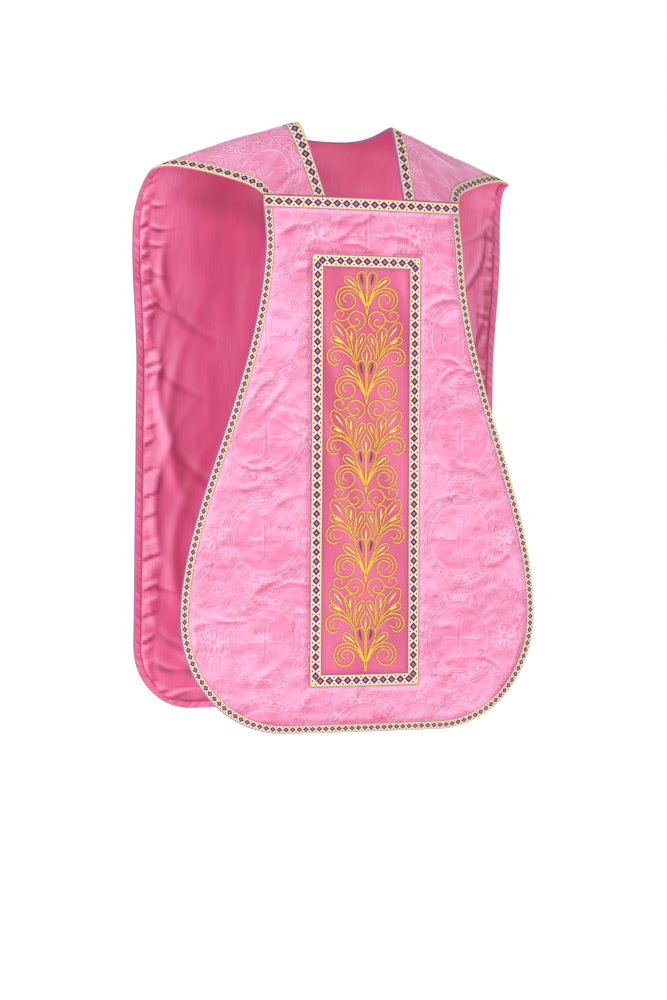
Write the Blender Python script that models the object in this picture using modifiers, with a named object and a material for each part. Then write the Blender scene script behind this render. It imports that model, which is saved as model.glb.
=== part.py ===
"""Roman (fiddleback) chasuble: two stiffened cloth panels hung from a shoulder yoke.

Frame: metres, +Z up, wearer facing -Y, +X to the wearer's left.  The origin is the centre of
the neck opening at the height of the shoulder ridge.  Every panel is a stack of lining,
interlining and face cloth; galloon braid, orphrey and embroidery lie on the face.
"""

import math

import bpy
from mathutils import Matrix, Vector

# ---------------------------------------------------------------- driving dimensions
# Shoulders and neck
NECK_FRONT_HALF = 0.0715      # half width of the neck opening at the chest seam
NECK_RIDGE_HALF = 0.087       # half width of the neck opening at the shoulder ridge
NECK_BACK_REACH = 0.38        # how far the neckline runs down the back quarter arc
TIP_HALF = 0.330              # half width at the shoulder tips
RIDGE_FALL = 0.26             # fall of the ridge per metre at the neck
RIDGE_ROUND = 0.36            # extra fall per square metre towards the tip
RIDGE_BACK = 0.034            # how far behind the neck the ridge lies at the tips
RIDGE_BACK_RUN = 0.15         # distance over which the ridge drifts back
RIDGE_SHARP = 0.02            # rounding of the ridge fold
BACK_FALL_CENTRE = 0.120      # height of the quarter arc behind the neck
BACK_FALL_TIP = 0.090         # height of the quarter arc at the tips
ARMHOLE_LEAD = (0.195, -0.045)     # first handle of the armhole edge, x and y
ARMHOLE_SWEEP = (0.260, -0.015)    # second handle of the armhole edge, x and y

# Front panel
CHEST_SEAM_Z = -0.132
CHEST_HALF = 0.1775
SKIRT_HALF = 0.3225
SKIRT_WIDEST_Z = -0.840
FLARE_START_Z = -0.170
FLARE_LATE = 1.12             # above 1 the flare starts gently and ends quicker
FRONT_HEM_Z = -1.032
FRONT_HEM_HALF = 0.140        # half length of the straight stretch of the hem
CHEST_DEPTH = 0.096           # front of the chest before the neck
SKIRT_DEPTH = 0.104
CHEST_CURVE = 0.37            # depth lost per square metre sideways, at the seam
SKIRT_CURVE = 0.12
CHEST_BLEND_Z = -0.225        # below this the front hangs straight

# Back panel
BACK_SEAM_Z = -0.200
BACK_TOP_HALF = 0.346         # half width below the shoulder tips
BACK_HALF = 0.336             # half width from the end of the taper down
BACK_TAPER = 0.22             # height over which the back narrows
BACK_HEM_Z = -1.006
BACK_CORNER = 0.110           # radius of the bottom corners
BACK_DEPTH = 0.122
BACK_HEM_DEPTH = 0.140
BACK_CURVE = 0.17

# Cloth stack
GAP = 0.0003
LINING = 0.0006
INTERLINING = 0.0014
FACE = 0.0008
TRIM_GAP = 0.0006             # trim lies over a facet edge of the cloth under it
GALLOON_THICK = 0.0009
GROUND_THICK = 0.0007
STITCH_THICK = 0.0012

# Trim
WIDE_GALLOON = 0.0205
ARMHOLE_GALLOON = 0.0170
EDGE_GALLOON = 0.0135
BUTT_GAP = 0.0006             # between two ends of braid
SWING_CLEAR = 0.0006          # from the outermost cloth at a seam to its swing axis

# Orphrey column
ORPHREY_HALF = 0.099
ORPHREY_TOP_Z = -0.229
ORPHREY_BOTTOM_Z = -0.955
ORPHREY_MARGIN = 0.001        # the ground stops short of the braid's outer edge
MOTIF_COUNT = 5
MOTIF_END_CLEAR = 0.0055      # between the frame braid and the ends of the embroidery
MOTIF_SIDE_CLEAR = 0.0070     # between the frame braid and the widest group
MOTIF_GAP = 0.003
PALMETTE_HEIGHT = 0.074

# Facets
PANEL_COLUMNS = 5             # per half
FLARE_ROWS = 7
CORNER_ROWS = 5
BACK_ROWS = 7
RING_FRONT = 6                # ring stations from the chest seam to the ridge
RING_SIDE = 4                 # from the ridge down the side to the back seam
RING_BACK = 4                 # from the side to the centre of the back
RING_ACROSS = 4               # between the neck braid and the armhole braid
RING = RING_FRONT + RING_SIDE + RING_BACK
SIDE_REACH = (0.0, 0.35, 0.70, 1.0, 2.0)   # places down the side: 0 ridge, 1 arc end, 2 seam
STEP = 1e-4                   # for surface tangents
MERGE = 1e-5

# Levels above the inner side of the lining
INTERLINING_LEVEL = LINING + GAP
FACE_LEVEL = INTERLINING_LEVEL + INTERLINING + GAP
TRIM_LEVEL = FACE_LEVEL + FACE + TRIM_GAP
FRAME_LEVEL = TRIM_LEVEL + GROUND_THICK + TRIM_GAP
STITCH_LEVEL = TRIM_LEVEL + GROUND_THICK + GAP


# ---------------------------------------------------------------- scene and materials
def clear_scene():
    for thing in list(bpy.data.objects):
        bpy.data.objects.remove(thing, do_unlink=True)


def make_material(name, colour, roughness, metallic=0.0):
    material = bpy.data.materials.new(name)
    material.use_nodes = True
    shader = material.node_tree.nodes["Principled BSDF"]
    shader.inputs["Base Color"].default_value = (*colour, 1.0)
    shader.inputs["Roughness"].default_value = roughness
    shader.inputs["Metallic"].default_value = metallic
    return material


def damask():
    return make_material("rose_damask", (0.93, 0.42, 0.62), 0.45)


def satin():
    return make_material("rose_satin", (0.72, 0.13, 0.27), 0.35)


def canvas():
    return make_material("stiff_canvas", (0.85, 0.82, 0.76), 0.85)


def galloon():
    return make_material("galloon_braid", (0.78, 0.62, 0.30), 0.5)


def gold_thread():
    return make_material("gold_thread", (0.80, 0.52, 0.10), 0.35, 0.6)


# ---------------------------------------------------------------- surfaces
def ease(u):
    """0 to 1 with level ends."""
    u = min(1.0, max(0.0, u))
    return u * u * (3.0 - 2.0 * u)


def mix(a, b, u):
    return a + (b - a) * u


def front_depth(x, z):
    """Y of the front panel."""
    low = ease((CHEST_SEAM_Z - z) / (CHEST_SEAM_Z - CHEST_BLEND_Z))
    depth = mix(CHEST_DEPTH, SKIRT_DEPTH, low)
    curve = mix(CHEST_CURVE, SKIRT_CURVE, low)
    return -depth + curve * x * x


def back_depth(x, z):
    """Y of the back panel, which hangs a little outwards."""
    low = (BACK_SEAM_Z - z) / (BACK_SEAM_Z - BACK_HEM_Z)
    return mix(BACK_DEPTH, BACK_HEM_DEPTH, low) - BACK_CURVE * x * x


def ridge(x):
    """Y and Z of the shoulder ridge."""
    out = max(0.0, abs(x) - NECK_RIDGE_HALF)
    drift = min(1.0, out / RIDGE_BACK_RUN)
    fall = out * (RIDGE_FALL + RIDGE_ROUND * out)
    return RIDGE_BACK * math.sin(drift * math.pi / 2), -fall


def fold(distance):
    """Drop for each unit of slope at a distance from the ridge, rounded at the ridge."""
    return math.hypot(distance, RIDGE_SHARP) - RIDGE_SHARP


def strap_slope(x):
    """Slope of the front of the shoulder; out to the chest's end it meets the seam."""
    x = min(abs(x), CHEST_HALF)
    ridge_y, ridge_z = ridge(x)
    return (ridge_z - CHEST_SEAM_Z) / fold(ridge_y - front_depth(x, CHEST_SEAM_Z))


def yoke_point(x, reach):
    """Shoulder surface.  reach: -1 chest seam, 0 ridge, 1 end of the arc, 2 back seam."""
    ridge_y, ridge_z = ridge(x)
    if reach < 0.0:
        run = -reach * (ridge_y - front_depth(x, CHEST_SEAM_Z))
        return Vector((x, ridge_y - run, ridge_z - strap_slope(x) * fold(run)))
    back_y = back_depth(x, BACK_SEAM_Z)
    fall = mix(BACK_FALL_CENTRE, BACK_FALL_TIP, ease(abs(x) / TIP_HALF))
    if reach <= 1.0:
        turn = reach * math.pi / 2
        height = ridge_z - fall * (1.0 - math.cos(turn))
        return Vector((x, mix(ridge_y, back_y, math.sin(turn)), height))
    return Vector((x, back_y, mix(ridge_z - fall, BACK_SEAM_Z + GAP, reach - 1.0)))


def front_point(x, z):
    return Vector((x, front_depth(x, z), z))


def back_point(x, z):
    return Vector((x, back_depth(x, z), z))


def place(surface, outward, a, b):
    """A surface point with its outward unit normal."""
    along_a = surface(a + STEP, b) - surface(a - STEP, b)
    along_b = surface(a, b + STEP) - surface(a, b - STEP)
    normal = along_a.cross(along_b).normalized()
    if normal.dot(outward) < 0.0:
        normal.negate()
    return surface(a, b), normal


def on_front(x, z):
    return place(front_point, Vector((0.0, -1.0, 0.0)), x, z)


def on_back(x, z):
    return place(back_point, Vector((0.0, 1.0, 0.0)), x, z)


def on_yoke(x, reach):
    outward = Vector((0.0, 0.35 * (reach if reach > 0.0 else 0.0), 1.0))
    if reach > 1.0:
        outward = Vector((0.0, 1.0, 0.0))
    return place(yoke_point, outward, x, reach)


# ---------------------------------------------------------------- outlines
def front_half_width(z):
    """Half width of the fiddle from the chest down to its widest line."""
    down = (FLARE_START_Z - z) / (FLARE_START_Z - SKIRT_WIDEST_Z)
    return mix(CHEST_HALF, SKIRT_HALF, ease(max(0.0, down) ** FLARE_LATE))


def front_side():
    """Left edge of the front panel, top to hem: x and z."""
    top = CHEST_SEAM_Z - GAP
    below = top - WIDE_GALLOON
    heights = [top, below, mix(below, CHEST_BLEND_Z, 1 / 3), mix(below, CHEST_BLEND_Z, 2 / 3)]
    heights += [mix(CHEST_BLEND_Z, SKIRT_WIDEST_Z, i / FLARE_ROWS) for i in range(FLARE_ROWS)]
    edge = [(front_half_width(z), z) for z in heights]
    for i in range(CORNER_ROWS + 1):
        turn = i / CORNER_ROWS * math.pi / 2
        x = FRONT_HEM_HALF + (SKIRT_HALF - FRONT_HEM_HALF) * math.cos(turn)
        edge.append((x, mix(SKIRT_WIDEST_Z, FRONT_HEM_Z, math.sin(turn))))
    return edge


def back_side():
    """Left edge of the back panel, top to hem: x and z."""
    top = BACK_SEAM_Z - GAP
    turn_z = BACK_HEM_Z + BACK_CORNER
    edge = []
    for i in range(BACK_ROWS):
        z = mix(top, turn_z, i / BACK_ROWS)
        edge.append((mix(BACK_TOP_HALF, BACK_HALF, ease((BACK_SEAM_Z - z) / BACK_TAPER)), z))
    for i in range(CORNER_ROWS + 1):
        turn = i / CORNER_ROWS * math.pi / 2
        x = BACK_HALF - BACK_CORNER * (1.0 - math.cos(turn))
        edge.append((x, turn_z - BACK_CORNER * math.sin(turn)))
    return edge


def panel_rows(edge, surface):
    """Rows of places from the centre line out to an edge."""
    rows = []
    for half, z in edge:
        rows.append([surface(half * j / PANEL_COLUMNS, z) for j in range(PANEL_COLUMNS + 1)])
    return rows


def bezier(points, u):
    """Cubic through four (x, y) points."""
    v = 1.0 - u
    weights = (v * v * v, 3 * v * v * u, 3 * v * u * u, u * u * u)
    x = sum(w * p[0] for w, p in zip(weights, points))
    y = sum(w * p[1] for w, p in zip(weights, points))
    return x, y


def neck_edge(station):
    """Neckline in x and reach, for a ring station counted from the chest seam."""
    if station <= RING_FRONT:
        along = station / RING_FRONT
        return mix(NECK_FRONT_HALF, NECK_RIDGE_HALF, along), along - 1.0
    turn = (station - RING_FRONT) / (RING - RING_FRONT) * math.pi / 2
    square = 2.0 / 3.0
    x = NECK_RIDGE_HALF * max(0.0, math.cos(turn)) ** square
    if station == RING:
        x = 0.0
    return x, NECK_BACK_REACH * math.sin(turn) ** square


def side_half(reach):
    """Half width of the back cloth from the tip down to the back seam."""
    return mix(TIP_HALF, BACK_TOP_HALF, ease(reach))


def outer_edge(station):
    """Armhole, side and back seam in x and reach."""
    if station <= RING_FRONT:
        start = (CHEST_HALF, front_depth(CHEST_HALF, CHEST_SEAM_Z))
        end = (TIP_HALF, ridge(TIP_HALF)[0])
        x, y = bezier((start, ARMHOLE_LEAD, ARMHOLE_SWEEP, end), station / RING_FRONT)
        ridge_y = ridge(x)[0]
        return x, (y - ridge_y) / (ridge_y - front_depth(x, CHEST_SEAM_Z))
    if station <= RING_FRONT + RING_SIDE:
        index = station - RING_FRONT
        low = int(min(index, RING_SIDE - 1))
        reach = mix(SIDE_REACH[low], SIDE_REACH[low + 1], index - low)
        return side_half(reach), reach
    return BACK_TOP_HALF * (RING - station) / RING_BACK, 2.0


def ring_place(station, across):
    """Shoulder cloth between the neckline, 0, and the outer edge, 1."""
    inner = neck_edge(station)
    outer = outer_edge(station)
    return on_yoke(mix(inner[0], outer[0], across), mix(inner[1], outer[1], across))


def braid_share(station, edge, width):
    """Share of the way across the ring that a braid of this width takes at an edge."""
    nudge = 0.02
    toward = nudge if edge == 0.0 else -nudge
    before = ring_place(max(0.0, station - nudge), edge)[0]
    after = ring_place(min(float(RING), station + nudge), edge)[0]
    along = (after - before).normalized()
    across = ring_place(station, edge + toward)[0] - ring_place(station, edge)[0]
    return width * nudge / across.cross(along).length


def neck_share(station):
    return braid_share(station, 0.0, WIDE_GALLOON)


def armhole_share(station):
    return braid_share(station, 1.0, ARMHOLE_GALLOON)


def yoke_rows():
    """Ring stations from the chest seam to the centre of the back."""
    rows = []
    for station in range(RING + 1):
        first = neck_share(station)
        last = 1.0 - armhole_share(station)
        stops = [0.0] + [mix(first, last, j / RING_ACROSS) for j in range(RING_ACROSS + 1)]
        rows.append([ring_place(station, stop) for stop in stops + [1.0]])
    return rows


# ---------------------------------------------------------------- solids
def closed_sheet(name, rows, level, thickness, material, mirrored):
    """Sheet over rows of places, lifted to its level and thickened outwards."""
    width = len(rows[0])
    points = [point + normal * level for row in rows for point, normal in row]
    faces = []
    for i in range(len(rows) - 1):
        for j in range(width - 1):
            a = i * width + j
            b = a + width
            faces.append((a, b, b + 1))
            faces.append((a, b + 1, a + 1))
    corner = faces[0]
    turned = (points[corner[1]] - points[corner[0]]).cross(points[corner[2]] - points[corner[0]])
    if turned.dot(rows[0][0][1]) < 0.0:
        faces = [face[::-1] for face in faces]
    mesh = bpy.data.meshes.new(name)
    mesh.from_pydata(points, [], faces)
    body = add_part(name, mesh, material)
    if mirrored:
        mirror = body.modifiers.new("mirror", "MIRROR")
        mirror.merge_threshold = MERGE
    shell = body.modifiers.new("thickness", "SOLIDIFY")
    shell.thickness = thickness
    shell.offset = 1.0
    return body


def add_part(name, data, material):
    data.materials.append(material)
    body = bpy.data.objects.new(name, data)
    bpy.data.collections["chasuble"].objects.link(body)
    return body


def hang_from_axis(name, prefixes, y, z):
    """Empty on a swing axis, parent of every part whose name starts with a prefix."""
    axis = bpy.data.objects.new(name, None)
    axis.location = (0.0, y, z)
    parts = bpy.data.collections["chasuble"].objects
    hung = [part for part in parts if part.name.startswith(prefixes)]
    parts.link(axis)
    for part in hung:
        part.parent = axis
        part.matrix_parent_inverse = Matrix.Translation((0.0, -y, -z))


def cloth_stack(prefix, rows, cloths):
    """Lining and face cloth of one panel."""
    closed_sheet(f"{prefix}_lining", rows, 0.0, LINING, cloths["satin"], True)
    closed_sheet(f"{prefix}_face", rows, FACE_LEVEL, FACE, cloths["damask"], True)


def canvas_sheet(name, rows, cloths, mirrored):
    closed_sheet(name, rows, INTERLINING_LEVEL, INTERLINING, cloths["canvas"], mirrored)


def strip_rows(surface, edge, width):
    """Rows across a braid that follows an edge on its inner side."""
    rows = []
    for i, (x, z) in enumerate(edge):
        before = Vector(edge[max(i - 1, 0)])
        after = Vector(edge[min(i + 1, len(edge) - 1)])
        along = (after - before).normalized()
        inward = Vector((along.y, -along.x)) * width
        if i == len(edge) - 1:
            inward = Vector((0.0, width))
        if i == 0:
            inward = Vector((-width, 0.0))
        rows.append([surface(x, z), surface(x + inward.x, z + inward.y)])
    return rows


def edge_braid(name, surface, edge, material):
    """Braid down one side, round the corner and along the hem, mirrored to the other side."""
    hem_half, hem_z = edge[-1]
    rows = strip_rows(surface, edge, EDGE_GALLOON)
    for j in reversed(range(PANEL_COLUMNS)):
        x = hem_half * j / PANEL_COLUMNS
        rows.append([surface(x, hem_z), surface(x, hem_z + EDGE_GALLOON)])
    return closed_sheet(name, rows, TRIM_LEVEL, GALLOON_THICK, material, True)


def cross_rows(surface, half, top, bottom, columns):
    """Two rows across the panel, centre to half width."""
    xs = [half * j / columns for j in range(columns + 1)]
    return [[surface(x, z) for x in xs] for z in (top, bottom)]


# ---------------------------------------------------------------- sub-parts
def butted(row):
    """The row at the centre of the back, moved half a gap clear of the other half."""
    return [(Vector((GAP / 2, point.y, point.z)), normal) for point, normal in row]


def add_yoke(cloths):
    """Shoulders: the canvas is cut in two, butted at the centre of the back."""
    rows = yoke_rows()
    cloth_stack("yoke", rows, cloths)
    half = rows[:-1] + [butted(rows[-1])]
    canvas_sheet("yoke_interlining_left", half, cloths, False)
    canvas_sheet("yoke_interlining_right", flipped(half), cloths, False)
    add_neck_braid(cloths["galloon"])
    add_armhole_braid(cloths["galloon"])


def flipped(rows):
    """The same places on the wearer's right."""
    turn = Vector((-1.0, 1.0, 1.0))
    return [[(point * turn, normal * turn) for point, normal in row] for row in rows]


def add_neck_braid(material):
    """One length over each shoulder to the back corner, one across the back."""
    corner = RING_FRONT + RING_SIDE
    slip = BUTT_GAP / WIDE_GALLOON
    stations = list(range(corner)) + [corner - slip]
    rows = [[ring_place(s, 0.0), ring_place(s, neck_share(s))] for s in stations]
    closed_sheet("neck_galloon_left", rows, TRIM_LEVEL, GALLOON_THICK, material, False)
    closed_sheet("neck_galloon_right", flipped(rows), TRIM_LEVEL, GALLOON_THICK, material, False)
    rows = [[ring_place(s, 0.0), ring_place(s, neck_share(s))] for s in range(corner, RING + 1)]
    closed_sheet("neck_galloon_back", rows, TRIM_LEVEL, GALLOON_THICK, material, True)


def add_armhole_braid(material):
    """From the chest seam round the armhole, over the tip and down to the back seam."""
    corner = RING_FRONT + RING_SIDE
    rows = []
    for station in range(corner):
        rows.append([ring_place(station, 1.0 - armhole_share(station)),
                     ring_place(station, 1.0)])
    seam = (BACK_TOP_HALF - ARMHOLE_GALLOON, BACK_TOP_HALF)
    rows.append([on_yoke(x, 2.0) for x in seam])
    closed_sheet("armhole_galloon_left", rows, TRIM_LEVEL, GALLOON_THICK, material, False)
    closed_sheet("armhole_galloon_right", flipped(rows), TRIM_LEVEL, GALLOON_THICK, material,
                 False)


def add_front(cloths):
    edge = front_side()
    rows = panel_rows(edge, on_front)
    cloth_stack("front", rows, cloths)
    canvas_sheet("front_interlining", rows, cloths, True)
    top = CHEST_SEAM_Z - GAP
    rows = cross_rows(on_front, CHEST_HALF, top, top - WIDE_GALLOON, PANEL_COLUMNS)
    closed_sheet("chest_galloon", rows, TRIM_LEVEL, GALLOON_THICK, cloths["galloon"], True)
    start = top - WIDE_GALLOON - BUTT_GAP
    below = [(front_half_width(start), start)] + [spot for spot in edge if spot[1] < start]
    edge_braid("front_edge_galloon", on_front, below, cloths["galloon"])
    add_orphrey("front", on_front, cloths)
    outermost = CHEST_DEPTH + TRIM_LEVEL + GALLOON_THICK
    hang_from_axis("front_swing_axis", ("front_", "chest_"), -outermost - SWING_CLEAR,
                   CHEST_SEAM_Z)


def add_back(cloths):
    edge = back_side()
    rows = panel_rows(edge, on_back)
    cloth_stack("back", rows, cloths)
    canvas_sheet("back_interlining", rows, cloths, True)
    edge_braid("back_edge_galloon", on_back, edge, cloths["galloon"])
    add_orphrey("back", on_back, cloths)
    outermost = BACK_DEPTH + FACE_LEVEL + FACE
    hang_from_axis("back_swing_axis", ("back_",), outermost + SWING_CLEAR, BACK_SEAM_Z)


def add_orphrey(prefix, surface, cloths):
    """Satin ground, mitred frame of wide braid, and the column of embroidery."""
    half = ORPHREY_HALF - ORPHREY_MARGIN
    top = ORPHREY_TOP_Z - ORPHREY_MARGIN
    bottom = ORPHREY_BOTTOM_Z + ORPHREY_MARGIN
    rows = []
    for i in range(FLARE_ROWS + 1):
        z = mix(top, bottom, i / FLARE_ROWS)
        rows.append([surface(x, z) for x in (0.0, half / 2, half)])
    closed_sheet(f"{prefix}_orphrey_ground", rows, TRIM_LEVEL, GROUND_THICK, cloths["satin"],
                 True)
    add_frame(prefix, surface, cloths["galloon"])
    add_motifs(prefix, surface, cloths["gold"])


def add_frame(prefix, surface, material):
    """Four lengths of braid with mitred ends."""
    outer = ORPHREY_HALF
    inner = ORPHREY_HALF - WIDE_GALLOON
    slip = BUTT_GAP / 2
    for end, z, turn in (("top", ORPHREY_TOP_Z, -1.0), ("bottom", ORPHREY_BOTTOM_Z, 1.0)):
        rows = []
        for depth, half in ((0.0, outer), (WIDE_GALLOON, inner)):
            xs = (0.0, half / 2, half - slip)
            rows.append([surface(x, z + turn * depth) for x in xs])
        closed_sheet(f"{prefix}_orphrey_galloon_{end}", rows, FRAME_LEVEL, GALLOON_THICK,
                     material, True)
    rows = []
    for i in range(FLARE_ROWS + 1):
        along = i / FLARE_ROWS
        reach = ORPHREY_TOP_Z - slip, ORPHREY_BOTTOM_Z + slip
        short = reach[0] - WIDE_GALLOON, reach[1] + WIDE_GALLOON
        rows.append([surface(outer, mix(*reach, along)), surface(inner, mix(*short, along))])
    closed_sheet(f"{prefix}_orphrey_galloon_left", rows, FRAME_LEVEL, GALLOON_THICK, material,
                 False)
    closed_sheet(f"{prefix}_orphrey_galloon_right", flipped(rows), FRAME_LEVEL, GALLOON_THICK,
                 material, False)


# Half outlines of the embroidered groups, from the foot up: x as a share of the room beside
# the middle of the orphrey, y as a share of the group's height.
PALMETTE = ((0.0, 0.0), (0.17, 0.10), (0.41, 0.0), (0.64, 0.10), (0.77, 0.34), (0.68, 0.56),
            (0.52, 0.66), (0.54, 0.82), (0.37, 0.92), (0.21, 0.90), (0.12, 1.0))
ACANTHUS = ((0.0, 0.0), (0.20, 0.12), (0.51, 0.04), (0.84, 0.16), (1.0, 0.42), (0.88, 0.62),
            (0.65, 0.60), (0.59, 0.84), (0.33, 0.86), (0.20, 1.0))


def stitched_group(name, surface, half_outline, top, height, material):
    """Flat plate of padded embroidery standing on the satin ground."""
    room = ORPHREY_HALF - WIDE_GALLOON - MOTIF_SIDE_CLEAR
    outline = [(x * room, y * height) for x, y in half_outline]
    outline += [(-x, y) for x, y in reversed(outline) if x > 0.0]
    curve = bpy.data.curves.new(name, "CURVE")
    curve.dimensions = "2D"
    curve.fill_mode = "BOTH"
    curve.extrude = STITCH_THICK / 2
    spline = curve.splines.new("POLY")
    spline.points.add(len(outline) - 1)
    for point, (x, y) in zip(spline.points, outline):
        point.co = (x, y, 0.0, 1.0)
    spline.use_cyclic_u = True
    plate = add_part(name, curve, material)
    point, normal = surface(0.0, top - height)
    up = (surface(0.0, top)[0] - point).normalized()
    across = up.cross(normal)
    centre = point + normal * (STITCH_LEVEL + STITCH_THICK / 2)
    turn = Matrix((across, up, normal)).transposed()
    plate.location = centre
    plate.rotation_euler = turn.to_euler()
    return plate


def add_motifs(prefix, surface, material):
    """Palmettes with an acanthus group between each two."""
    top = ORPHREY_TOP_Z - WIDE_GALLOON - MOTIF_END_CLEAR
    bottom = ORPHREY_BOTTOM_Z + WIDE_GALLOON + MOTIF_END_CLEAR
    period = (top - bottom - PALMETTE_HEIGHT) / (MOTIF_COUNT - 1)
    between = period - PALMETTE_HEIGHT - 2 * MOTIF_GAP
    for i in range(MOTIF_COUNT):
        start = top - i * period
        stitched_group(f"{prefix}_palmette_{i + 1}", surface, PALMETTE, start,
                       PALMETTE_HEIGHT, material)
        if i < MOTIF_COUNT - 1:
            stitched_group(f"{prefix}_acanthus_{i + 1}", surface, ACANTHUS,
                           start - PALMETTE_HEIGHT - MOTIF_GAP, between, material)


def main():
    clear_scene()
    parts = bpy.data.collections.new("chasuble")
    bpy.context.scene.collection.children.link(parts)
    cloths = {"damask": damask(), "satin": satin(), "canvas": canvas(),
              "galloon": galloon(), "gold": gold_thread()}
    add_yoke(cloths)
    add_front(cloths)
    add_back(cloths)


main()
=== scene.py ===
"""Looks of the Roman chasuble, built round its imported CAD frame.

Metres, +Z up.  The wearer faces -Y and +X is the wearer's left, as in the frame.
Every cloth is one continuous sheet over the same surfaces that the CAD panels have.
"""

import math

import bpy
import numpy as np
from mathutils import Matrix, Vector


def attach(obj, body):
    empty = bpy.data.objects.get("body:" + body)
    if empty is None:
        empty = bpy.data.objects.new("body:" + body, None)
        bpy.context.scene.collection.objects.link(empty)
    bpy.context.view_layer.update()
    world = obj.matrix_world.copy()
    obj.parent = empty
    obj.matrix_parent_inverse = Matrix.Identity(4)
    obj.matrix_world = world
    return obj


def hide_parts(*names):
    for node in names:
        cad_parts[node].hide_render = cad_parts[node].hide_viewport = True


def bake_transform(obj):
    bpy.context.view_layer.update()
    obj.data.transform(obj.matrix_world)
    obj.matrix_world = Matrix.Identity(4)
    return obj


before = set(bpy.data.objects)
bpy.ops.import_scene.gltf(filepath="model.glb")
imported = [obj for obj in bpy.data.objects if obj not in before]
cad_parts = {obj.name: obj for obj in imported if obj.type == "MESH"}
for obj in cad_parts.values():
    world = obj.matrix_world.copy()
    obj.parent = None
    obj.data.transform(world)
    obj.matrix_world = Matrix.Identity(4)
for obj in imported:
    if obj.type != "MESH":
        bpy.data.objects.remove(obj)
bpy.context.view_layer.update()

# ---------------------------------------------------------------- camera and stage
CAMERA_PLACE = (-1.679, -4.187, -0.5857)
CAMERA_AZIMUTH = math.radians(-21.67)
CAMERA_ELEVATION = math.radians(0.72)
CAMERA_ROLL = math.radians(0.293)
CAMERA_LENS = 94.07
FLOOR_Z = -1.50
FLOOR_RADIUS = 40.0
FLOOR_TONE = (0.93, 0.93, 0.93, 1.0)
FLOOR_ROUGHNESS = 0.9
FLOOR_GLOW = 0.62
WHITE = (1.0, 1.0, 1.0, 1.0)
ROOM_LIGHT = 0.47
LIGHT_TARGET = (0.0, 0.0, -0.5)
LIGHTS = (                    # name, place, diameter, watts
    ("key", (-3.2, -3.0, 1.7), 1.2, 88.0),
    ("fill", (2.6, -3.4, 0.2), 2.2, 18.0),
    ("back", (1.5, 4.2, 1.2), 2.2, 55.0),
)

# ---------------------------------------------------------------- the CAD's dimensions
NECK_FRONT_HALF = 0.0715
NECK_RIDGE_HALF = 0.087
NECK_BACK_REACH = 0.38
TIP_HALF = 0.330
RIDGE_FALL = 0.26
RIDGE_ROUND = 0.36
RIDGE_BACK = 0.034
RIDGE_BACK_RUN = 0.15
RIDGE_SHARP = 0.02
BACK_FALL_CENTRE = 0.120
BACK_FALL_TIP = 0.090
ARMHOLE_LEAD = (0.195, -0.045)
ARMHOLE_SWEEP = (0.260, -0.015)
CHEST_SEAM_Z = -0.132
CHEST_HALF = 0.1775
SKIRT_HALF = 0.3225
SKIRT_WIDEST_Z = -0.840
FLARE_START_Z = -0.170
FLARE_LATE = 1.12
FRONT_HEM_Z = -1.032
FRONT_HEM_HALF = 0.140
CHEST_DEPTH = 0.096
SKIRT_DEPTH = 0.104
CHEST_CURVE = 0.37
SKIRT_CURVE = 0.12
CHEST_BLEND_Z = -0.225
BACK_SEAM_Z = -0.200
BACK_TOP_HALF = 0.346
BACK_HALF = 0.336
BACK_TAPER = 0.22
BACK_HEM_Z = -1.006
BACK_CORNER = 0.110
BACK_DEPTH = 0.122
BACK_HEM_DEPTH = 0.140
BACK_CURVE = 0.17
LINING = 0.0006
INTERLINING = 0.0014
FACE = 0.0008
GALLOON_THICK = 0.0009
GROUND_THICK = 0.0007
WIDE_GALLOON = 0.0205
ARMHOLE_GALLOON = 0.0170
EDGE_GALLOON = 0.0135
BUTT_GAP = 0.0006
ORPHREY_HALF = 0.099
ORPHREY_TOP_Z = -0.229
ORPHREY_BOTTOM_Z = -0.955
MOTIF_COUNT = 5
MOTIF_END_CLEAR = 0.0055
PALMETTE_HEIGHT = 0.074
INTERLINING_LEVEL = 0.0009
FACE_LEVEL = 0.0026
TRIM_LEVEL = 0.0040
FRAME_LEVEL = 0.0053
STITCH_LEVEL = 0.0048
# Stations round the shoulders' ring, from the chest seam to the centre of the back.
RING_FRONT = 6                # armhole
RING_SIDE = 4                 # side of the shoulder
RING_BACK = 4                 # back seam
RING = RING_FRONT + RING_SIDE + RING_BACK
SIDE_REACH = (0.0, 0.35, 0.70, 1.0, 2.0)
STEP = 1e-4                   # distance over which a surface's slope is taken

# ---------------------------------------------------------------- fine detail
CLOTH_STEP = 0.0042           # spacing of a cloth's mesh
CANVAS_STEP = 0.012
BRAID_STEP = 0.003
TURNED_EDGE = 0.0045          # the canvas stops this short of the turned edge
HEM_WIDTH = 0.0125            # stitched hem of the lining
HEM_RAISE = 0.0008
NECK_PITCH = 0.0186           # one diamond of each braid
CHEST_PITCH = 0.0171
FRAME_PITCH = 0.0160
ARMHOLE_PITCH = 0.0155
NARROW_PITCH = 0.0117
DAMASK_PITCH = (0.1765, 0.1705)   # one roundel of the damask, across and down
DAMASK_ROW = -0.1945          # height of a row of roundels; a column runs down the middle
DISC = 0.0535                 # smooth disc of a roundel
RIM = 0.0805                  # outer rim of a roundel
BAND = 0.0680                 # middle of its scroll band
BAND_HALF = 0.0080
BAND_SCROLLS = 13.0
MEDALLION = 0.0218            # between one roundel and the next in its column
MEDALLION_CORE = 0.0155
MEDALLION_BEADS = 20.0
ROSETTE = 0.0225              # between the columns
ROSETTE_LOBES = 4.0
BRAID_YELLOW = (0.93, 0.74, 0.001)
EMBOSS = 0.0013               # how far the light and dark sides of a woven line part
RELIEF_REACH = 0.0015         # distance over which a fold's slope is taken
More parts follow.
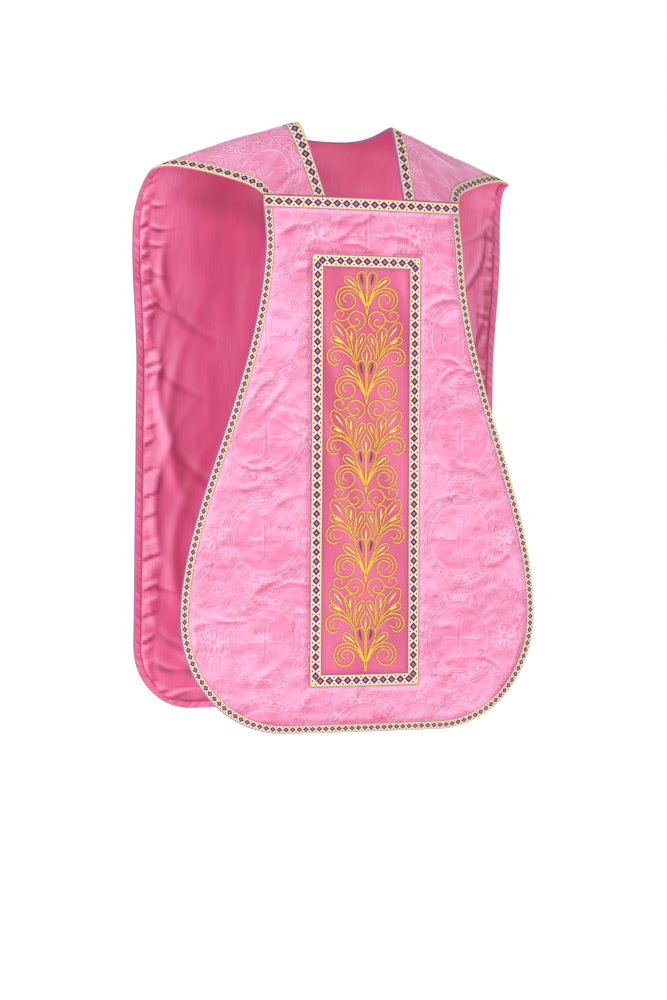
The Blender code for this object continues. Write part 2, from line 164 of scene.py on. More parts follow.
# Slow waves of the stiff cloth, which grow to their full size over SWAY_RUN.
SWAY_RUN = 0.35
BACK_SWAY_TOP = BACK_SEAM_Z - 0.05
FRONT_SWAY = ((0.0022, 0.14, 0.24, 5), (0.0010, 0.06, 0.09, 6))
BACK_SWAY = ((0.0026, 0.15, 0.26, 7), (0.0010, 0.06, 0.10, 8))
# Small lumps of the damask, and its creases: seed, count, reach from the middle, heights.
FRONT_LUMPS = ((0.0007, 0.030, 0.020, 11), (0.0003, 0.012, 0.009, 12))
BACK_LUMPS = ((0.0006, 0.035, 0.024, 13),)
FRONT_CREASES = ((21, 60, (0.105, 0.31), (-0.99, -0.24)),
                 (23, 12, (0.0, 0.16), (-0.218, -0.158)))
BACK_CREASES = ((22, 50, (0.105, 0.32), (-0.97, -0.24)), (24, 30, (0.10, 0.31), (-0.16, 0.24)))
CLEAR_RUN = 0.010             # the cloth lies flat this near to a braid
FRAME_CLEAR_RUN = 0.008
RELIEF_GAIN = 5.0             # strength of the light on the damask's creases
SLACK_GAIN = 3.6              # and on the lining's folds
# Start and end of a bend across each panel's swing line; bend() looks them up and does not use them.
FRONT_BEND = ((0.0, -0.100, -0.132), (0.0, -0.104, -0.220))
BACK_BEND = ((0.0, 0.122, -0.200), (0.0, 0.124, -0.310))
MM = 0.001


# ---------------------------------------------------------------- camera, floor, light
def add_camera():
    data = bpy.data.cameras.new("camera")
    data.lens = CAMERA_LENS
    camera = bpy.data.objects.new("camera", data)
    bpy.context.scene.collection.objects.link(camera)
    level = math.cos(CAMERA_ELEVATION)
    look = Vector((-math.sin(CAMERA_AZIMUTH) * level, math.cos(CAMERA_AZIMUTH) * level,
                   -math.sin(CAMERA_ELEVATION)))
    turn = look.to_track_quat("-Z", "Y").to_matrix() @ Matrix.Rotation(CAMERA_ROLL, 3, "Z")
    camera.matrix_world = Matrix.Translation(CAMERA_PLACE) @ turn.to_4x4()
    bpy.context.scene.camera = camera


def add_floor():
    bpy.ops.mesh.primitive_circle_add(vertices=96, radius=FLOOR_RADIUS, fill_type="NGON",
                                      location=(0.0, 0.0, FLOOR_Z))
    floor = bpy.context.object
    floor.name = "floor"
    material, _, shader = new_material("pale_floor")
    shader.inputs["Base Color"].default_value = FLOOR_TONE
    shader.inputs["Roughness"].default_value = FLOOR_ROUGHNESS
    shader.inputs["Emission Color"].default_value = WHITE
    shader.inputs["Emission Strength"].default_value = FLOOR_GLOW
    floor.data.materials.append(material)


def add_area_light(name, place, size, power):
    data = bpy.data.lights.new(name, "AREA")
    data.shape = "DISK"
    data.size = size
    data.energy = power
    light = bpy.data.objects.new(name, data)
    light.location = place
    toward = Vector(LIGHT_TARGET) - Vector(place)
    light.rotation_euler = toward.to_track_quat("-Z", "Y").to_euler()
    bpy.context.scene.collection.objects.link(light)


def add_light():
    """White room: bright behind the object, softer as a light."""
    world = bpy.data.worlds.new("studio")
    bpy.context.scene.world = world
    world.use_nodes = True
    tree = world.node_tree
    seen = tree.nodes.new("ShaderNodeLightPath")
    soft = tree.nodes["Background"]
    soft.inputs["Color"].default_value = WHITE
    soft.inputs["Strength"].default_value = ROOM_LIGHT
    white = tree.nodes.new("ShaderNodeBackground")
    white.inputs["Color"].default_value = WHITE
    mixer = tree.nodes.new("ShaderNodeMixShader")
    tree.links.new(seen.outputs["Is Camera Ray"], mixer.inputs[0])
    tree.links.new(soft.outputs[0], mixer.inputs[1])
    tree.links.new(white.outputs[0], mixer.inputs[2])
    tree.links.new(mixer.outputs[0], tree.nodes["World Output"].inputs["Surface"])
    for light in LIGHTS:
        add_area_light(*light)
    bpy.context.scene.view_settings.view_transform = "Standard"


# ---------------------------------------------------------------- small mathematics
def ease(u):
    u = np.clip(u, 0.0, 1.0)
    return u * u * (3.0 - 2.0 * u)


def mix(a, b, u):
    return a + (b - a) * u


def join(x, y, z):
    return np.stack(np.broadcast_arrays(x, y, z), axis=-1).astype(float)


def unit(vectors):
    return vectors / np.maximum(np.linalg.norm(vectors, axis=-1, keepdims=True), 1e-12)


def soft_noise(a, b, size_a, size_b, seed):
    """Smooth values from -1 to 1, with one lump for each size_a by size_b."""
    lattice = np.random.default_rng(seed).uniform(-1.0, 1.0, (64, 64))
    a = np.asarray(a) / size_a + 32.0
    b = np.asarray(b) / size_b + 32.0
    low_a = np.floor(a).astype(int)
    low_b = np.floor(b).astype(int)
    part_a = ease(a - low_a)
    part_b = ease(b - low_b)
    rows = [mix(lattice[(low_a + k) % 64, low_b % 64], lattice[(low_a + k) % 64,
                (low_b + 1) % 64], part_b) for k in (0, 1)]
    return mix(rows[0], rows[1], part_a)


def waves(a, b, parts, lift=0.0):
    """Sum of smooth noises, each given as its amount, two sizes and seed."""
    return sum(amount * (lift + soft_noise(a, b, size_a, size_b, seed))
               for amount, size_a, size_b, seed in parts)


def crease(x, z, spot, angle, length, width, height, bend_share=0.3):
    """A soft ridge of cloth about a spot, lying at an angle from the horizontal."""
    turn = math.radians(angle)
    along = (x - spot[0]) * math.cos(turn) + (z - spot[1]) * math.sin(turn)
    across = (z - spot[1]) * math.cos(turn) - (x - spot[0]) * math.sin(turn)
    bow = along * along / length * bend_share
    return height * np.exp(-((across - bow) / width) ** 2 - (along / length) ** 2)


def relief(height, x, z, gain):
    """Light on folds lit from above and the left: -1 is darkest, 1 is brightest."""
    slope_x = height(x + RELIEF_REACH, z) - height(x - RELIEF_REACH, z)
    slope_z = height(x, z + RELIEF_REACH) - height(x, z - RELIEF_REACH)
    return np.clip(gain * (0.5 * slope_x - slope_z) / (2 * RELIEF_REACH), -1.0, 1.0)


# ---------------------------------------------------------------- surfaces
def front_depth(x, z):
    low = ease((CHEST_SEAM_Z - z) / (CHEST_SEAM_Z - CHEST_BLEND_Z))
    depth = mix(CHEST_DEPTH, SKIRT_DEPTH, low)
    return -depth + mix(CHEST_CURVE, SKIRT_CURVE, low) * x * x


def back_depth(x, z):
    low = (BACK_SEAM_Z - z) / (BACK_SEAM_Z - BACK_HEM_Z)
    return mix(BACK_DEPTH, BACK_HEM_DEPTH, low) - BACK_CURVE * x * x


def front_surface(x, z):
    """Front panel, with the slow waves of stiff cloth growing towards the hem."""
    low = ease((CHEST_BLEND_Z - z) / SWAY_RUN)
    return join(x, front_depth(x, z) - low * waves(x, z, FRONT_SWAY), z)


def back_surface(x, z):
    low = ease((BACK_SWAY_TOP - z) / SWAY_RUN)
    return join(x, back_depth(x, z) + low * waves(x, z, BACK_SWAY), z)


def ridge(x):
    out = np.maximum(0.0, np.abs(x) - NECK_RIDGE_HALF)
    drift = np.minimum(1.0, out / RIDGE_BACK_RUN)
    fall = out * (RIDGE_FALL + RIDGE_ROUND * out)
    return RIDGE_BACK * np.sin(drift * math.pi / 2), -fall


def fold(distance):
    return np.hypot(distance, RIDGE_SHARP) - RIDGE_SHARP


def strap_slope(x):
    x = np.minimum(np.abs(x), CHEST_HALF)
    ridge_y, ridge_z = ridge(x)
    return (ridge_z - CHEST_SEAM_Z) / fold(ridge_y - front_depth(x, CHEST_SEAM_Z))


def yoke_surface(x, reach):
    """Shoulders.  reach: -1 chest seam, 0 ridge, 1 end of the arc, 2 back seam."""
    ridge_y, ridge_z = ridge(x)
    run = np.maximum(0.0, -reach) * (ridge_y - front_depth(x, CHEST_SEAM_Z))
    back_y = back_depth(x, BACK_SEAM_Z)
    drop = mix(BACK_FALL_CENTRE, BACK_FALL_TIP, ease(np.abs(x) / TIP_HALF))
    turn = np.clip(reach, 0.0, 1.0) * math.pi / 2
    arc_y = mix(ridge_y, back_y, np.sin(turn))
    arc_z = ridge_z - drop * (1.0 - np.cos(turn))
    low_z = mix(ridge_z - drop, BACK_SEAM_Z, reach - 1.0)
    y = np.where(reach < 0.0, ridge_y - run, np.where(reach <= 1.0, arc_y, back_y))
    z = np.where(reach < 0.0, ridge_z - strap_slope(x) * fold(run),
                 np.where(reach <= 1.0, arc_z, low_z))
    return join(x, y, z)


def yoke_flat(x, reach):
    """Where a spot of the shoulders lies on the flat cloth, which hangs on from the back."""
    ridge_y, ridge_z = ridge(x)
    drop = mix(BACK_FALL_CENTRE, BACK_FALL_TIP, ease(np.abs(x) / TIP_HALF))
    straight = ridge_z - drop - BACK_SEAM_Z
    arc = math.pi / 2 * np.sqrt((drop ** 2 + (back_depth(x, BACK_SEAM_Z) - ridge_y) ** 2) / 2)
    strap = np.hypot(ridge_y - front_depth(x, CHEST_SEAM_Z), ridge_z - CHEST_SEAM_Z)
    v = BACK_SEAM_Z + straight * np.minimum(1.0, 2.0 - reach)
    v = v + arc * np.clip(1.0 - reach, 0.0, 1.0) + strap * np.maximum(0.0, -reach)
    return np.stack(np.broadcast_arrays(x, v), axis=-1)


def lifted(surface, a, b, outward):
    """Surface points and outward unit normals."""
    along_a = surface(a + STEP, b) - surface(a - STEP, b)
    along_b = surface(a, b + STEP) - surface(a, b - STEP)
    normals = unit(np.cross(along_a, along_b))
    flip = np.sum(normals * outward, axis=-1, keepdims=True) < 0.0
    return surface(a, b), np.where(flip, -normals, normals)


def places(points, normals, flat):
    """One array of point, normal and flat place."""
    return np.concatenate([points, normals, flat], axis=-1)


def on_panel(surface, facing_y):
    """Function that gives the places of a panel at x and z."""
    def place(x, z):
        x, z = np.broadcast_arrays(np.asarray(x, float), np.asarray(z, float))
        points, normals = lifted(surface, x, z, np.array((0.0, facing_y, 0.0)))
        return places(points, normals, np.stack([x, z], axis=-1))
    return place


on_front = on_panel(front_surface, -1.0)
on_back = on_panel(back_surface, 1.0)


def on_yoke(x, reach):
    x, reach = np.broadcast_arrays(np.asarray(x, float), np.asarray(reach, float))
    lean = np.where(reach > 1.0, 50.0, 0.35 * np.maximum(0.0, reach))
    outward = join(np.zeros_like(lean), lean, np.ones_like(lean))
    points, normals = lifted(yoke_surface, x, reach, outward)
    return places(points, normals, yoke_flat(x, reach))


# ---------------------------------------------------------------- outlines
def front_half_width(z):
    down = (FLARE_START_Z - z) / (FLARE_START_Z - SKIRT_WIDEST_Z)
    return mix(CHEST_HALF, SKIRT_HALF, ease(np.maximum(0.0, down) ** FLARE_LATE))


def front_side(step):
    """Left edge of the front panel from the chest seam to the end of the round corner."""
    count = int((CHEST_SEAM_Z - SKIRT_WIDEST_Z) / step)
    z = np.linspace(CHEST_SEAM_Z, SKIRT_WIDEST_Z, count + 1)
    x = front_half_width(z)
    turn = np.linspace(0.0, math.pi / 2, int(0.27 / step) + 1)[1:]
    x = np.append(x, FRONT_HEM_HALF + (SKIRT_HALF - FRONT_HEM_HALF) * np.cos(turn))
    z = np.append(z, mix(SKIRT_WIDEST_Z, FRONT_HEM_Z, np.sin(turn)))
    return x, z


def back_side(step):
    """Left edge of the back panel from the seam to the end of the round corner."""
    turn_z = BACK_HEM_Z + BACK_CORNER
    z = np.linspace(BACK_SEAM_Z, turn_z, int((BACK_SEAM_Z - turn_z) / step) + 1)
    x = mix(BACK_TOP_HALF, BACK_HALF, ease((BACK_SEAM_Z - z) / BACK_TAPER))
    turn = np.linspace(0.0, math.pi / 2, int(BACK_CORNER * 1.57 / step) + 1)[1:]
    x = np.append(x, BACK_HALF - BACK_CORNER * (1.0 - np.cos(turn)))
    z = np.append(z, turn_z - BACK_CORNER * np.sin(turn))
    return x, z


def neck_edge(station):
    along = np.minimum(station, RING_FRONT) / RING_FRONT
    turn = np.clip((station - RING_FRONT) / (RING - RING_FRONT), 0.0, 1.0) * math.pi / 2
    square = 2.0 / 3.0
    front = mix(NECK_FRONT_HALF, NECK_RIDGE_HALF, along)
    back = NECK_RIDGE_HALF * np.maximum(0.0, np.cos(turn)) ** square
    x = np.where(station <= RING_FRONT, front, np.where(station >= RING, 0.0, back))
    reach = np.where(station <= RING_FRONT, along - 1.0, NECK_BACK_REACH * np.sin(turn) ** square)
    return x, reach


def outer_edge(station):
    """Armhole, side and back seam in x and reach."""
    start = np.array((CHEST_HALF, front_depth(CHEST_HALF, CHEST_SEAM_Z)))
    end = np.array((TIP_HALF, ridge(TIP_HALF)[0]))
    u = np.minimum(station, RING_FRONT)[..., None] / RING_FRONT
    v = 1.0 - u
    curve = (v ** 3 * start + 3 * v * v * u * np.array(ARMHOLE_LEAD)
             + 3 * v * u * u * np.array(ARMHOLE_SWEEP) + u ** 3 * end)
    ridge_y = ridge(curve[..., 0])[0]
    arm_reach = (curve[..., 1] - ridge_y) / (ridge_y - front_depth(curve[..., 0], CHEST_SEAM_Z))
    side = np.interp(station - RING_FRONT, range(RING_SIDE + 1), SIDE_REACH)
    side_x = mix(TIP_HALF, BACK_TOP_HALF, ease(side))
    seam_x = BACK_TOP_HALF * (RING - station) / RING_BACK
    corner = RING_FRONT + RING_SIDE
    x = np.where(station <= RING_FRONT, curve[..., 0],
                 np.where(station <= corner, side_x, seam_x))
    reach = np.where(station <= RING_FRONT, arm_reach, np.where(station <= corner, side, 2.0))
    return x, reach


def ring_place(station, across):
    """Shoulder cloth from the neckline, 0, to the outer edge, 1.

    Stations past the centre of the back come up the other side.
    """
    station = np.asarray(station, float)
    half = np.minimum(station, 2 * RING - station)
    side = np.where(station <= RING, 1.0, -1.0)
    inner = neck_edge(half)
    outer = outer_edge(half)
    x = mix(inner[0], outer[0], across)
    return on_yoke(side * x, mix(inner[1], outer[1], across))


def braid_share(station, edge, width):
    """Share of the way across the ring that a width takes at an edge."""
    nudge = 0.02
    toward = nudge if edge == 0.0 else -nudge
    before = ring_place(np.maximum(0.0, station - nudge), edge)[..., :3]
    after = ring_place(np.minimum(float(RING), station + nudge), edge)[..., :3]
    across = ring_place(station, edge + toward)[..., :3] - ring_place(station, edge)[..., :3]
    cross = np.linalg.norm(np.cross(across, unit(after - before)), axis=-1)
    return width * nudge / cross


# ---------------------------------------------------------------- grids of places
def panel_grid(surface, edge, columns, inset):
    """Places over a panel, edge to edge, one row for each point of its side."""
    x, z = edge
    z = np.maximum(z, z[-1] + inset)
    share = np.linspace(-1.0, 1.0, columns + 1)
    return surface((x - inset)[:, None] * share[None, :], z[:, None])


def front_grid(step, inset=0.0):
    return [panel_grid(on_front, front_side(step), 2 * int(SKIRT_HALF / step), inset)]


def ring_stations(step):
    """Stations round the neck, as many as each stretch needs."""
    front = np.linspace(0, RING_FRONT, int(0.20 / step) + 1)
    side = np.linspace(RING_FRONT, RING_FRONT + RING_SIDE, int(0.30 / step) + 1)
    back = np.linspace(RING_FRONT + RING_SIDE, RING, int(BACK_TOP_HALF / step) + 1)
    half = np.concatenate([front, side[1:], back[1:]])
    return np.concatenate([half, 2 * RING - half[-2::-1]]), len(back) - 1


def back_grids(step, inset=0.0):
    """The shoulders' ring and the back panel, which meet at the back seam."""
    stations, seam_half = ring_stations(step)
    half = np.minimum(stations, 2 * RING - stations)
    first = braid_share(half, 0.0, inset) if inset else np.zeros_like(half)
    last = 1.0 - (braid_share(half, 1.0, inset) if inset else np.zeros_like(half))
    on_seam = half >= RING_FRONT + RING_SIDE
    last = np.where(on_seam, 1.0, last)
    across = np.linspace(0.0, 1.0, int(0.24 / step) + 1)
    shares = mix(first[:, None], last[:, None], across[None, :])
    ring = ring_place(stations[:, None] + 0.0 * shares, shares)
    x, z = back_side(step)
    z = np.maximum(z, z[-1] + inset)
    x = x - inset * ease((BACK_SEAM_Z - z) / 0.02)
    columns = np.linspace(1.0, -1.0, 2 * seam_half + 1)
    panel = on_back(x[:, None] * columns[None, :], z[:, None])
    return [ring, panel]


def welded(grids):
    """One list of places and one of quads from grids whose edges meet."""
    cells = []
    start = 0
    for grid in grids:
        rows, columns = grid.shape[:2]
        index = start + np.arange(rows * columns).reshape(rows, columns)
        corners = [index[:-1, :-1], index[1:, :-1], index[1:, 1:], index[:-1, 1:]]
        cell = np.stack(corners, axis=-1).reshape(-1, 4)
        cells.append(facing(cell, grid.reshape(-1, 8), start))
        start += rows * columns
    spots = np.concatenate([grid.reshape(-1, 8) for grid in grids])
    _, first, same = np.unique(np.round(spots[:, :3], 5), axis=0, return_index=True,
                               return_inverse=True)
    return spots[first], same.ravel()[np.concatenate(cells)]


def facing(cells, spots, start):
    """Quads turned so that they face along the places' normals."""
    middle = cells[len(cells) // 2 + 3] - start
    a, b, c = (spots[middle[k], :3] for k in (0, 1, 2))
    if np.dot(np.cross(b - a, c - b), spots[middle[0], 3:6]) < 0.0:
        return cells[:, ::-1]
    return cells


def rim_edges(cells):
    """Edges that only one quad has, in that quad's direction."""
    edges = np.concatenate([cells[:, [k, (k + 1) % 4]] for k in range(4)])
    keys = np.sort(edges, axis=1)
    _, first, count = np.unique(keys, axis=0, return_index=True, return_counts=True)
    return edges[first[count == 1]]


def flat_area(spots, cells):
    corner = spots[cells][:, :, 6:8]
    diagonal_a = corner[:, 2] - corner[:, 0]
    diagonal_b = corner[:, 3] - corner[:, 1]
    return float(np.abs(diagonal_a[:, 0] * diagonal_b[:, 1]
                        - diagonal_a[:, 1] * diagonal_b[:, 0]).sum() / 2)


# ---------------------------------------------------------------- meshes
def add_mesh(name, points, faces, flat, material, sharp=50.0):
    mesh = bpy.data.meshes.new(name)
    mesh.from_pydata(points.tolist(), [], faces)
    mesh.materials.append(material)
    layer = mesh.uv_layers.new(name="flat")
    corner = np.zeros(len(mesh.loops), np.int32)
    mesh.loops.foreach_get("vertex_index", corner)
    layer.data.foreach_set("uv", flat[corner].astype(np.float32).ravel())
    mesh.shade_smooth()
    mesh.set_sharp_from_angle(angle=math.radians(sharp))
    piece = bpy.data.objects.new(name, mesh)
    bpy.context.scene.collection.objects.link(piece)
    return piece


def add_shell(name, grids, low, high, material, rim_low=None, shade=None):
    """Closed sheet between two levels, which may be numbers or functions of the places.

    rim_low is the underside's level along the rim, and shade gives each place's light.
    Returns the piece and the flat area of its cloth.
    """
    spots, cells = welded(grids)
    under = low(spots) if callable(low) else np.full(len(spots), low)
    over = high(spots) if callable(high) else np.full(len(spots), high)
    rim = rim_edges(cells)
    if rim_low is not None:
        under = under.copy()
        under[rim.ravel()] = rim_low
    count = len(spots)
    top = spots[:, :3] + spots[:, 3:6] * over[:, None]
    bottom = spots[:, :3] + spots[:, 3:6] * under[:, None]
    walls = np.stack([rim[:, 1], rim[:, 0], rim[:, 0] + count, rim[:, 1] + count], axis=-1)
    faces = np.concatenate([cells, cells[:, ::-1] + count, walls])
    flat = np.concatenate([spots[:, 6:8], spots[:, 6:8]])
    piece = add_mesh(name, np.concatenate([top, bottom]), faces.tolist(), flat, material)
    if shade is not None:
        layer = piece.data.attributes.new("shade", "FLOAT", "POINT")
        layer.data.foreach_set("value", np.tile(shade(spots), 2).astype(np.float32))
    return piece, flat_area(spots, cells)


# ---------------------------------------------------------------- shader arithmetic
class Term:
    """A shader socket that takes arithmetic."""

    def __init__(self, tree, socket):
        self.tree = tree
        self.socket = socket

    def math(self, operation, *others):
        node = self.tree.nodes.new("ShaderNodeMath")
        node.operation = operation
        self.tree.links.new(self.socket, node.inputs[0])
        for slot, other in enumerate(others, 1):
            if isinstance(other, Term):
                self.tree.links.new(other.socket, node.inputs[slot])
            else:
                node.inputs[slot].default_value = other
        return Term(self.tree, node.outputs[0])

    def __add__(self, other):
        return self.math("ADD", other)

    def __sub__(self, other):
        return self.math("SUBTRACT", other)

    def __mul__(self, other):
        return self.math("MULTIPLY", other)

    def __rsub__(self, other):
        return self.math("MULTIPLY", -1.0).math("ADD", other)

    __radd__ = __add__
    __rmul__ = __mul__

    def abs(self):
        return self.math("ABSOLUTE")

    def most(self, other):
        return self.math("MAXIMUM", other)

    def least(self, other):
        return self.math("MINIMUM", other)

    def sin(self):
        return self.math("SINE")

    def cos(self):
        return self.math("COSINE")

    def hypot(self, other):
        return (self * self + other * other).math("SQRT")

    def angle(self, other):
        return self.math("ARCTAN2", other)

    def rise(self, low, high):
        """Smooth step from 0 at low to 1 at high."""
        node = self.tree.nodes.new("ShaderNodeMapRange")
        node.interpolation_type = "SMOOTHSTEP"
        self.tree.links.new(self.socket, node.inputs["Value"])
        node.inputs["From Min"].default_value = low
        node.inputs["From Max"].default_value = high
        return Term(self.tree, node.outputs["Result"])

    def line(self, half_width):
        """1 where the value is near zero."""
        return 1.0 - self.abs().rise(half_width * 0.45, half_width * 1.3)

    def inside(self, soft):
        """1 where the value is below zero."""
        return 1.0 - self.rise(-soft, soft)


def new_material(name):
    material = bpy.data.materials.new(name)
    material.use_nodes = True
    return material, material.node_tree, material.node_tree.nodes["Principled BSDF"]


def flat_terms(tree):
    """The cloth's own flat coordinates, u and v."""
    source = tree.nodes.new("ShaderNodeUVMap")
    source.uv_map = "flat"
    parts = tree.nodes.new("ShaderNodeSeparateXYZ")
    tree.links.new(source.outputs["UV"], parts.inputs[0])
    return Term(tree, parts.outputs["X"]), Term(tree, parts.outputs["Y"])


def attribute(tree, name):
    """A signed value carried by the mesh, 0 where the mesh has none."""
    node = tree.nodes.new("ShaderNodeAttribute")
    node.attribute_name = name
    return Term(tree, node.outputs["Fac"])


def noise(tree, u, v, scale, detail=3.0, distortion=0.0):
    place = tree.nodes.new("ShaderNodeCombineXYZ")
    tree.links.new(u.socket, place.inputs["X"])
    tree.links.new(v.socket, place.inputs["Y"])
    node = tree.nodes.new("ShaderNodeTexNoise")
    node.inputs["Scale"].default_value = scale
    node.inputs["Detail"].default_value = detail
    node.inputs["Distortion"].default_value = distortion
    tree.links.new(place.outputs[0], node.inputs["Vector"])
    return Term(tree, node.outputs["Fac"])


def tinted(tree, amount, under, over):
    """Colour mix; under and over are colours or sockets."""
    node = tree.nodes.new("ShaderNodeMix")
    node.data_type = "RGBA"
    tree.links.new(amount.socket, node.inputs["Factor"])
    for socket, value in ((node.inputs["A"], under), (node.inputs["B"], over)):
        if isinstance(value, tuple):
            socket.default_value = (*value, 1.0)
        else:
            tree.links.new(value, socket)
    return node.outputs["Result"]


def bumped(tree, shader, height, depth, strength):
    node = tree.nodes.new("ShaderNodeBump")
    node.inputs["Distance"].default_value = depth
    node.inputs["Strength"].default_value = strength
    tree.links.new(height.socket, node.inputs["Height"])
    tree.links.new(node.outputs["Normal"], shader.inputs["Normal"])


def layered(tree, colour, layers):
    """Colour with each layer's colour laid over it by the layer's amount."""
    for amount, over in layers:
        colour = tinted(tree, amount, colour, over)
    return colour


def finished(parts, colour, rough, height, bump, **constants):
    """Material with its colour, roughness, relief (depth and strength) and constant values."""
    material, tree, shader = parts
    tree.links.new(colour, shader.inputs["Base Color"])
    tree.links.new(rough.socket, shader.inputs["Roughness"])
    bumped(tree, shader, height, *bump)
    for name, value in constants.items():
        shader.inputs[name.replace("_", " ")].default_value = value
    return material


# ---------------------------------------------------------------- materials
def segment(x, y, start, end):
    """Distance from a straight segment."""
    run = (end[0] - start[0], end[1] - start[1])
    square = run[0] ** 2 + run[1] ** 2
    share = ((x - start[0]) * (run[0] / square) + (y - start[1]) * (run[1] / square))
    share = share.most(0.0).least(1.0)
    return (x - start[0] - share * run[0]).hypot(y - start[1] - share * run[1])


def cross_lines(ax, cy):
    """Cross fleury in the disc, as distance from its nearest woven line."""
    tall = cy.abs()
    strokes = (
        ((0.0045, 0.0), (0.0047, 0.022)), ((0.0047, 0.022), (0.0075, 0.0310)),
        ((0.0075, 0.0310), (0.0155, 0.0345)), ((0.0085, 0.0370), (0.0, 0.0420)),
        ((0.0045, 0.0014), (0.0290, 0.0014)), ((0.0290, 0.0014), (0.0320, 0.0085)),
        ((0.0320, 0.0085), (0.0270, 0.0100)), ((0.0345, 0.0032), (0.0430, 0.0)),
    )
    nearest = segment(ax, tall, *strokes[0])
    for start, end in strokes[1:]:
        nearest = nearest.least(segment(ax, tall, start, end))
    return nearest


def damask_figure(u, v):
    """Woven roundels: raised lines, and how much each area is a disc or textured."""
    wide, high = DAMASK_PITCH
    ax = u.math("PINGPONG", wide / 2)
    shifted = v - DAMASK_ROW
    turns = (shifted * (1.0 / high)).math("ROUND")
    cy = shifted - turns * high
    tall = cy.abs()
    r = ax.hypot(cy)
    swing = cy.angle(ax)
    lines = (r - DISC - 0.0018).line(0.0016) + (r - DISC - 0.0058).line(0.0008)
    lines = lines + (r - RIM + 0.0045).line(0.0009) + (r - RIM).line(0.0014)
    middle = r - BAND
    band = middle.abs() - BAND_HALF
    wave = (swing * BAND_SCROLLS).sin() * 0.0042
    curls = (middle - wave).line(0.0014) + (middle + wave).line(0.0010)
    knots = (swing * BAND_SCROLLS).cos().abs().rise(0.80, 0.97)
    knots = knots * (middle.abs() - 0.0042).line(0.0020)
    lines = lines + (curls + knots) * band.inside(0.0008)
    lines = lines + cross_lines(ax, cy).line(0.0013)
    by = high / 2 - tall
    small = ax.hypot(by)
    spin = by.angle(ax)
    beads = (small - 0.0185).line(0.0020) * (spin * MEDALLION_BEADS).cos().rise(0.0, 0.6)
    lines = lines + (small - MEDALLION).line(0.0011)
    lines = lines + (small - MEDALLION_CORE).line(0.0010) + beads
    lines = lines + (small - 0.0085 * (spin * 2.0).cos().abs() - 0.0030).line(0.0011)
    bx = wide / 2 - ax
    large = bx.hypot(cy)
    roll = cy.angle(bx)
    petals = large - 0.0060 - 0.0115 * (roll * ROSETTE_LOBES).cos().abs()
    lines = lines + petals.inside(0.0008) * (large - 0.0042).rise(0.0, 0.0015)
    lines = lines + (large - ROSETTE).line(0.0013)
    gap = bx.hypot(by)
    lean = by.angle(bx)
    quatrefoil = gap - 0.0190 - 0.0110 * (lean * 2.0).sin().abs()
    heart = gap - 0.0110 - 0.0050 * (lean * 4.0).cos()
    scroll = (gap - 0.0245 - 0.0040 * (lean * 12.0).sin()).line(0.0011)
    lines = lines + quatrefoil.line(0.0012) + heart.line(0.0011) + (gap - 0.0045).line(0.0012)
    free = (r - RIM - 0.001).rise(-0.001, 0.001) * (large - (ROSETTE + 0.001)).rise(-0.001, 0.001)
    free = free * (small - (MEDALLION + 0.001)).rise(-0.001, 0.001)
    lines = lines + scroll * free
    disc = (r - DISC).inside(0.0010)
    textured = band.inside(0.0006).most((small - MEDALLION_CORE).inside(0.0008))
    rosette = (large - ROSETTE).inside(0.0008) - petals.inside(0.0008)
    textured = textured.most(rosette.most(0.0)).most(heart.inside(0.0008))
    return lines.least(1.0), disc, textured


def engraving(tree, u, v):
    """Fine scrollwork: the height of winding contours."""
    return (noise(tree, u, v, 48.0, 1.5, 1.3) * 5.0).math("PINGPONG", 0.5)


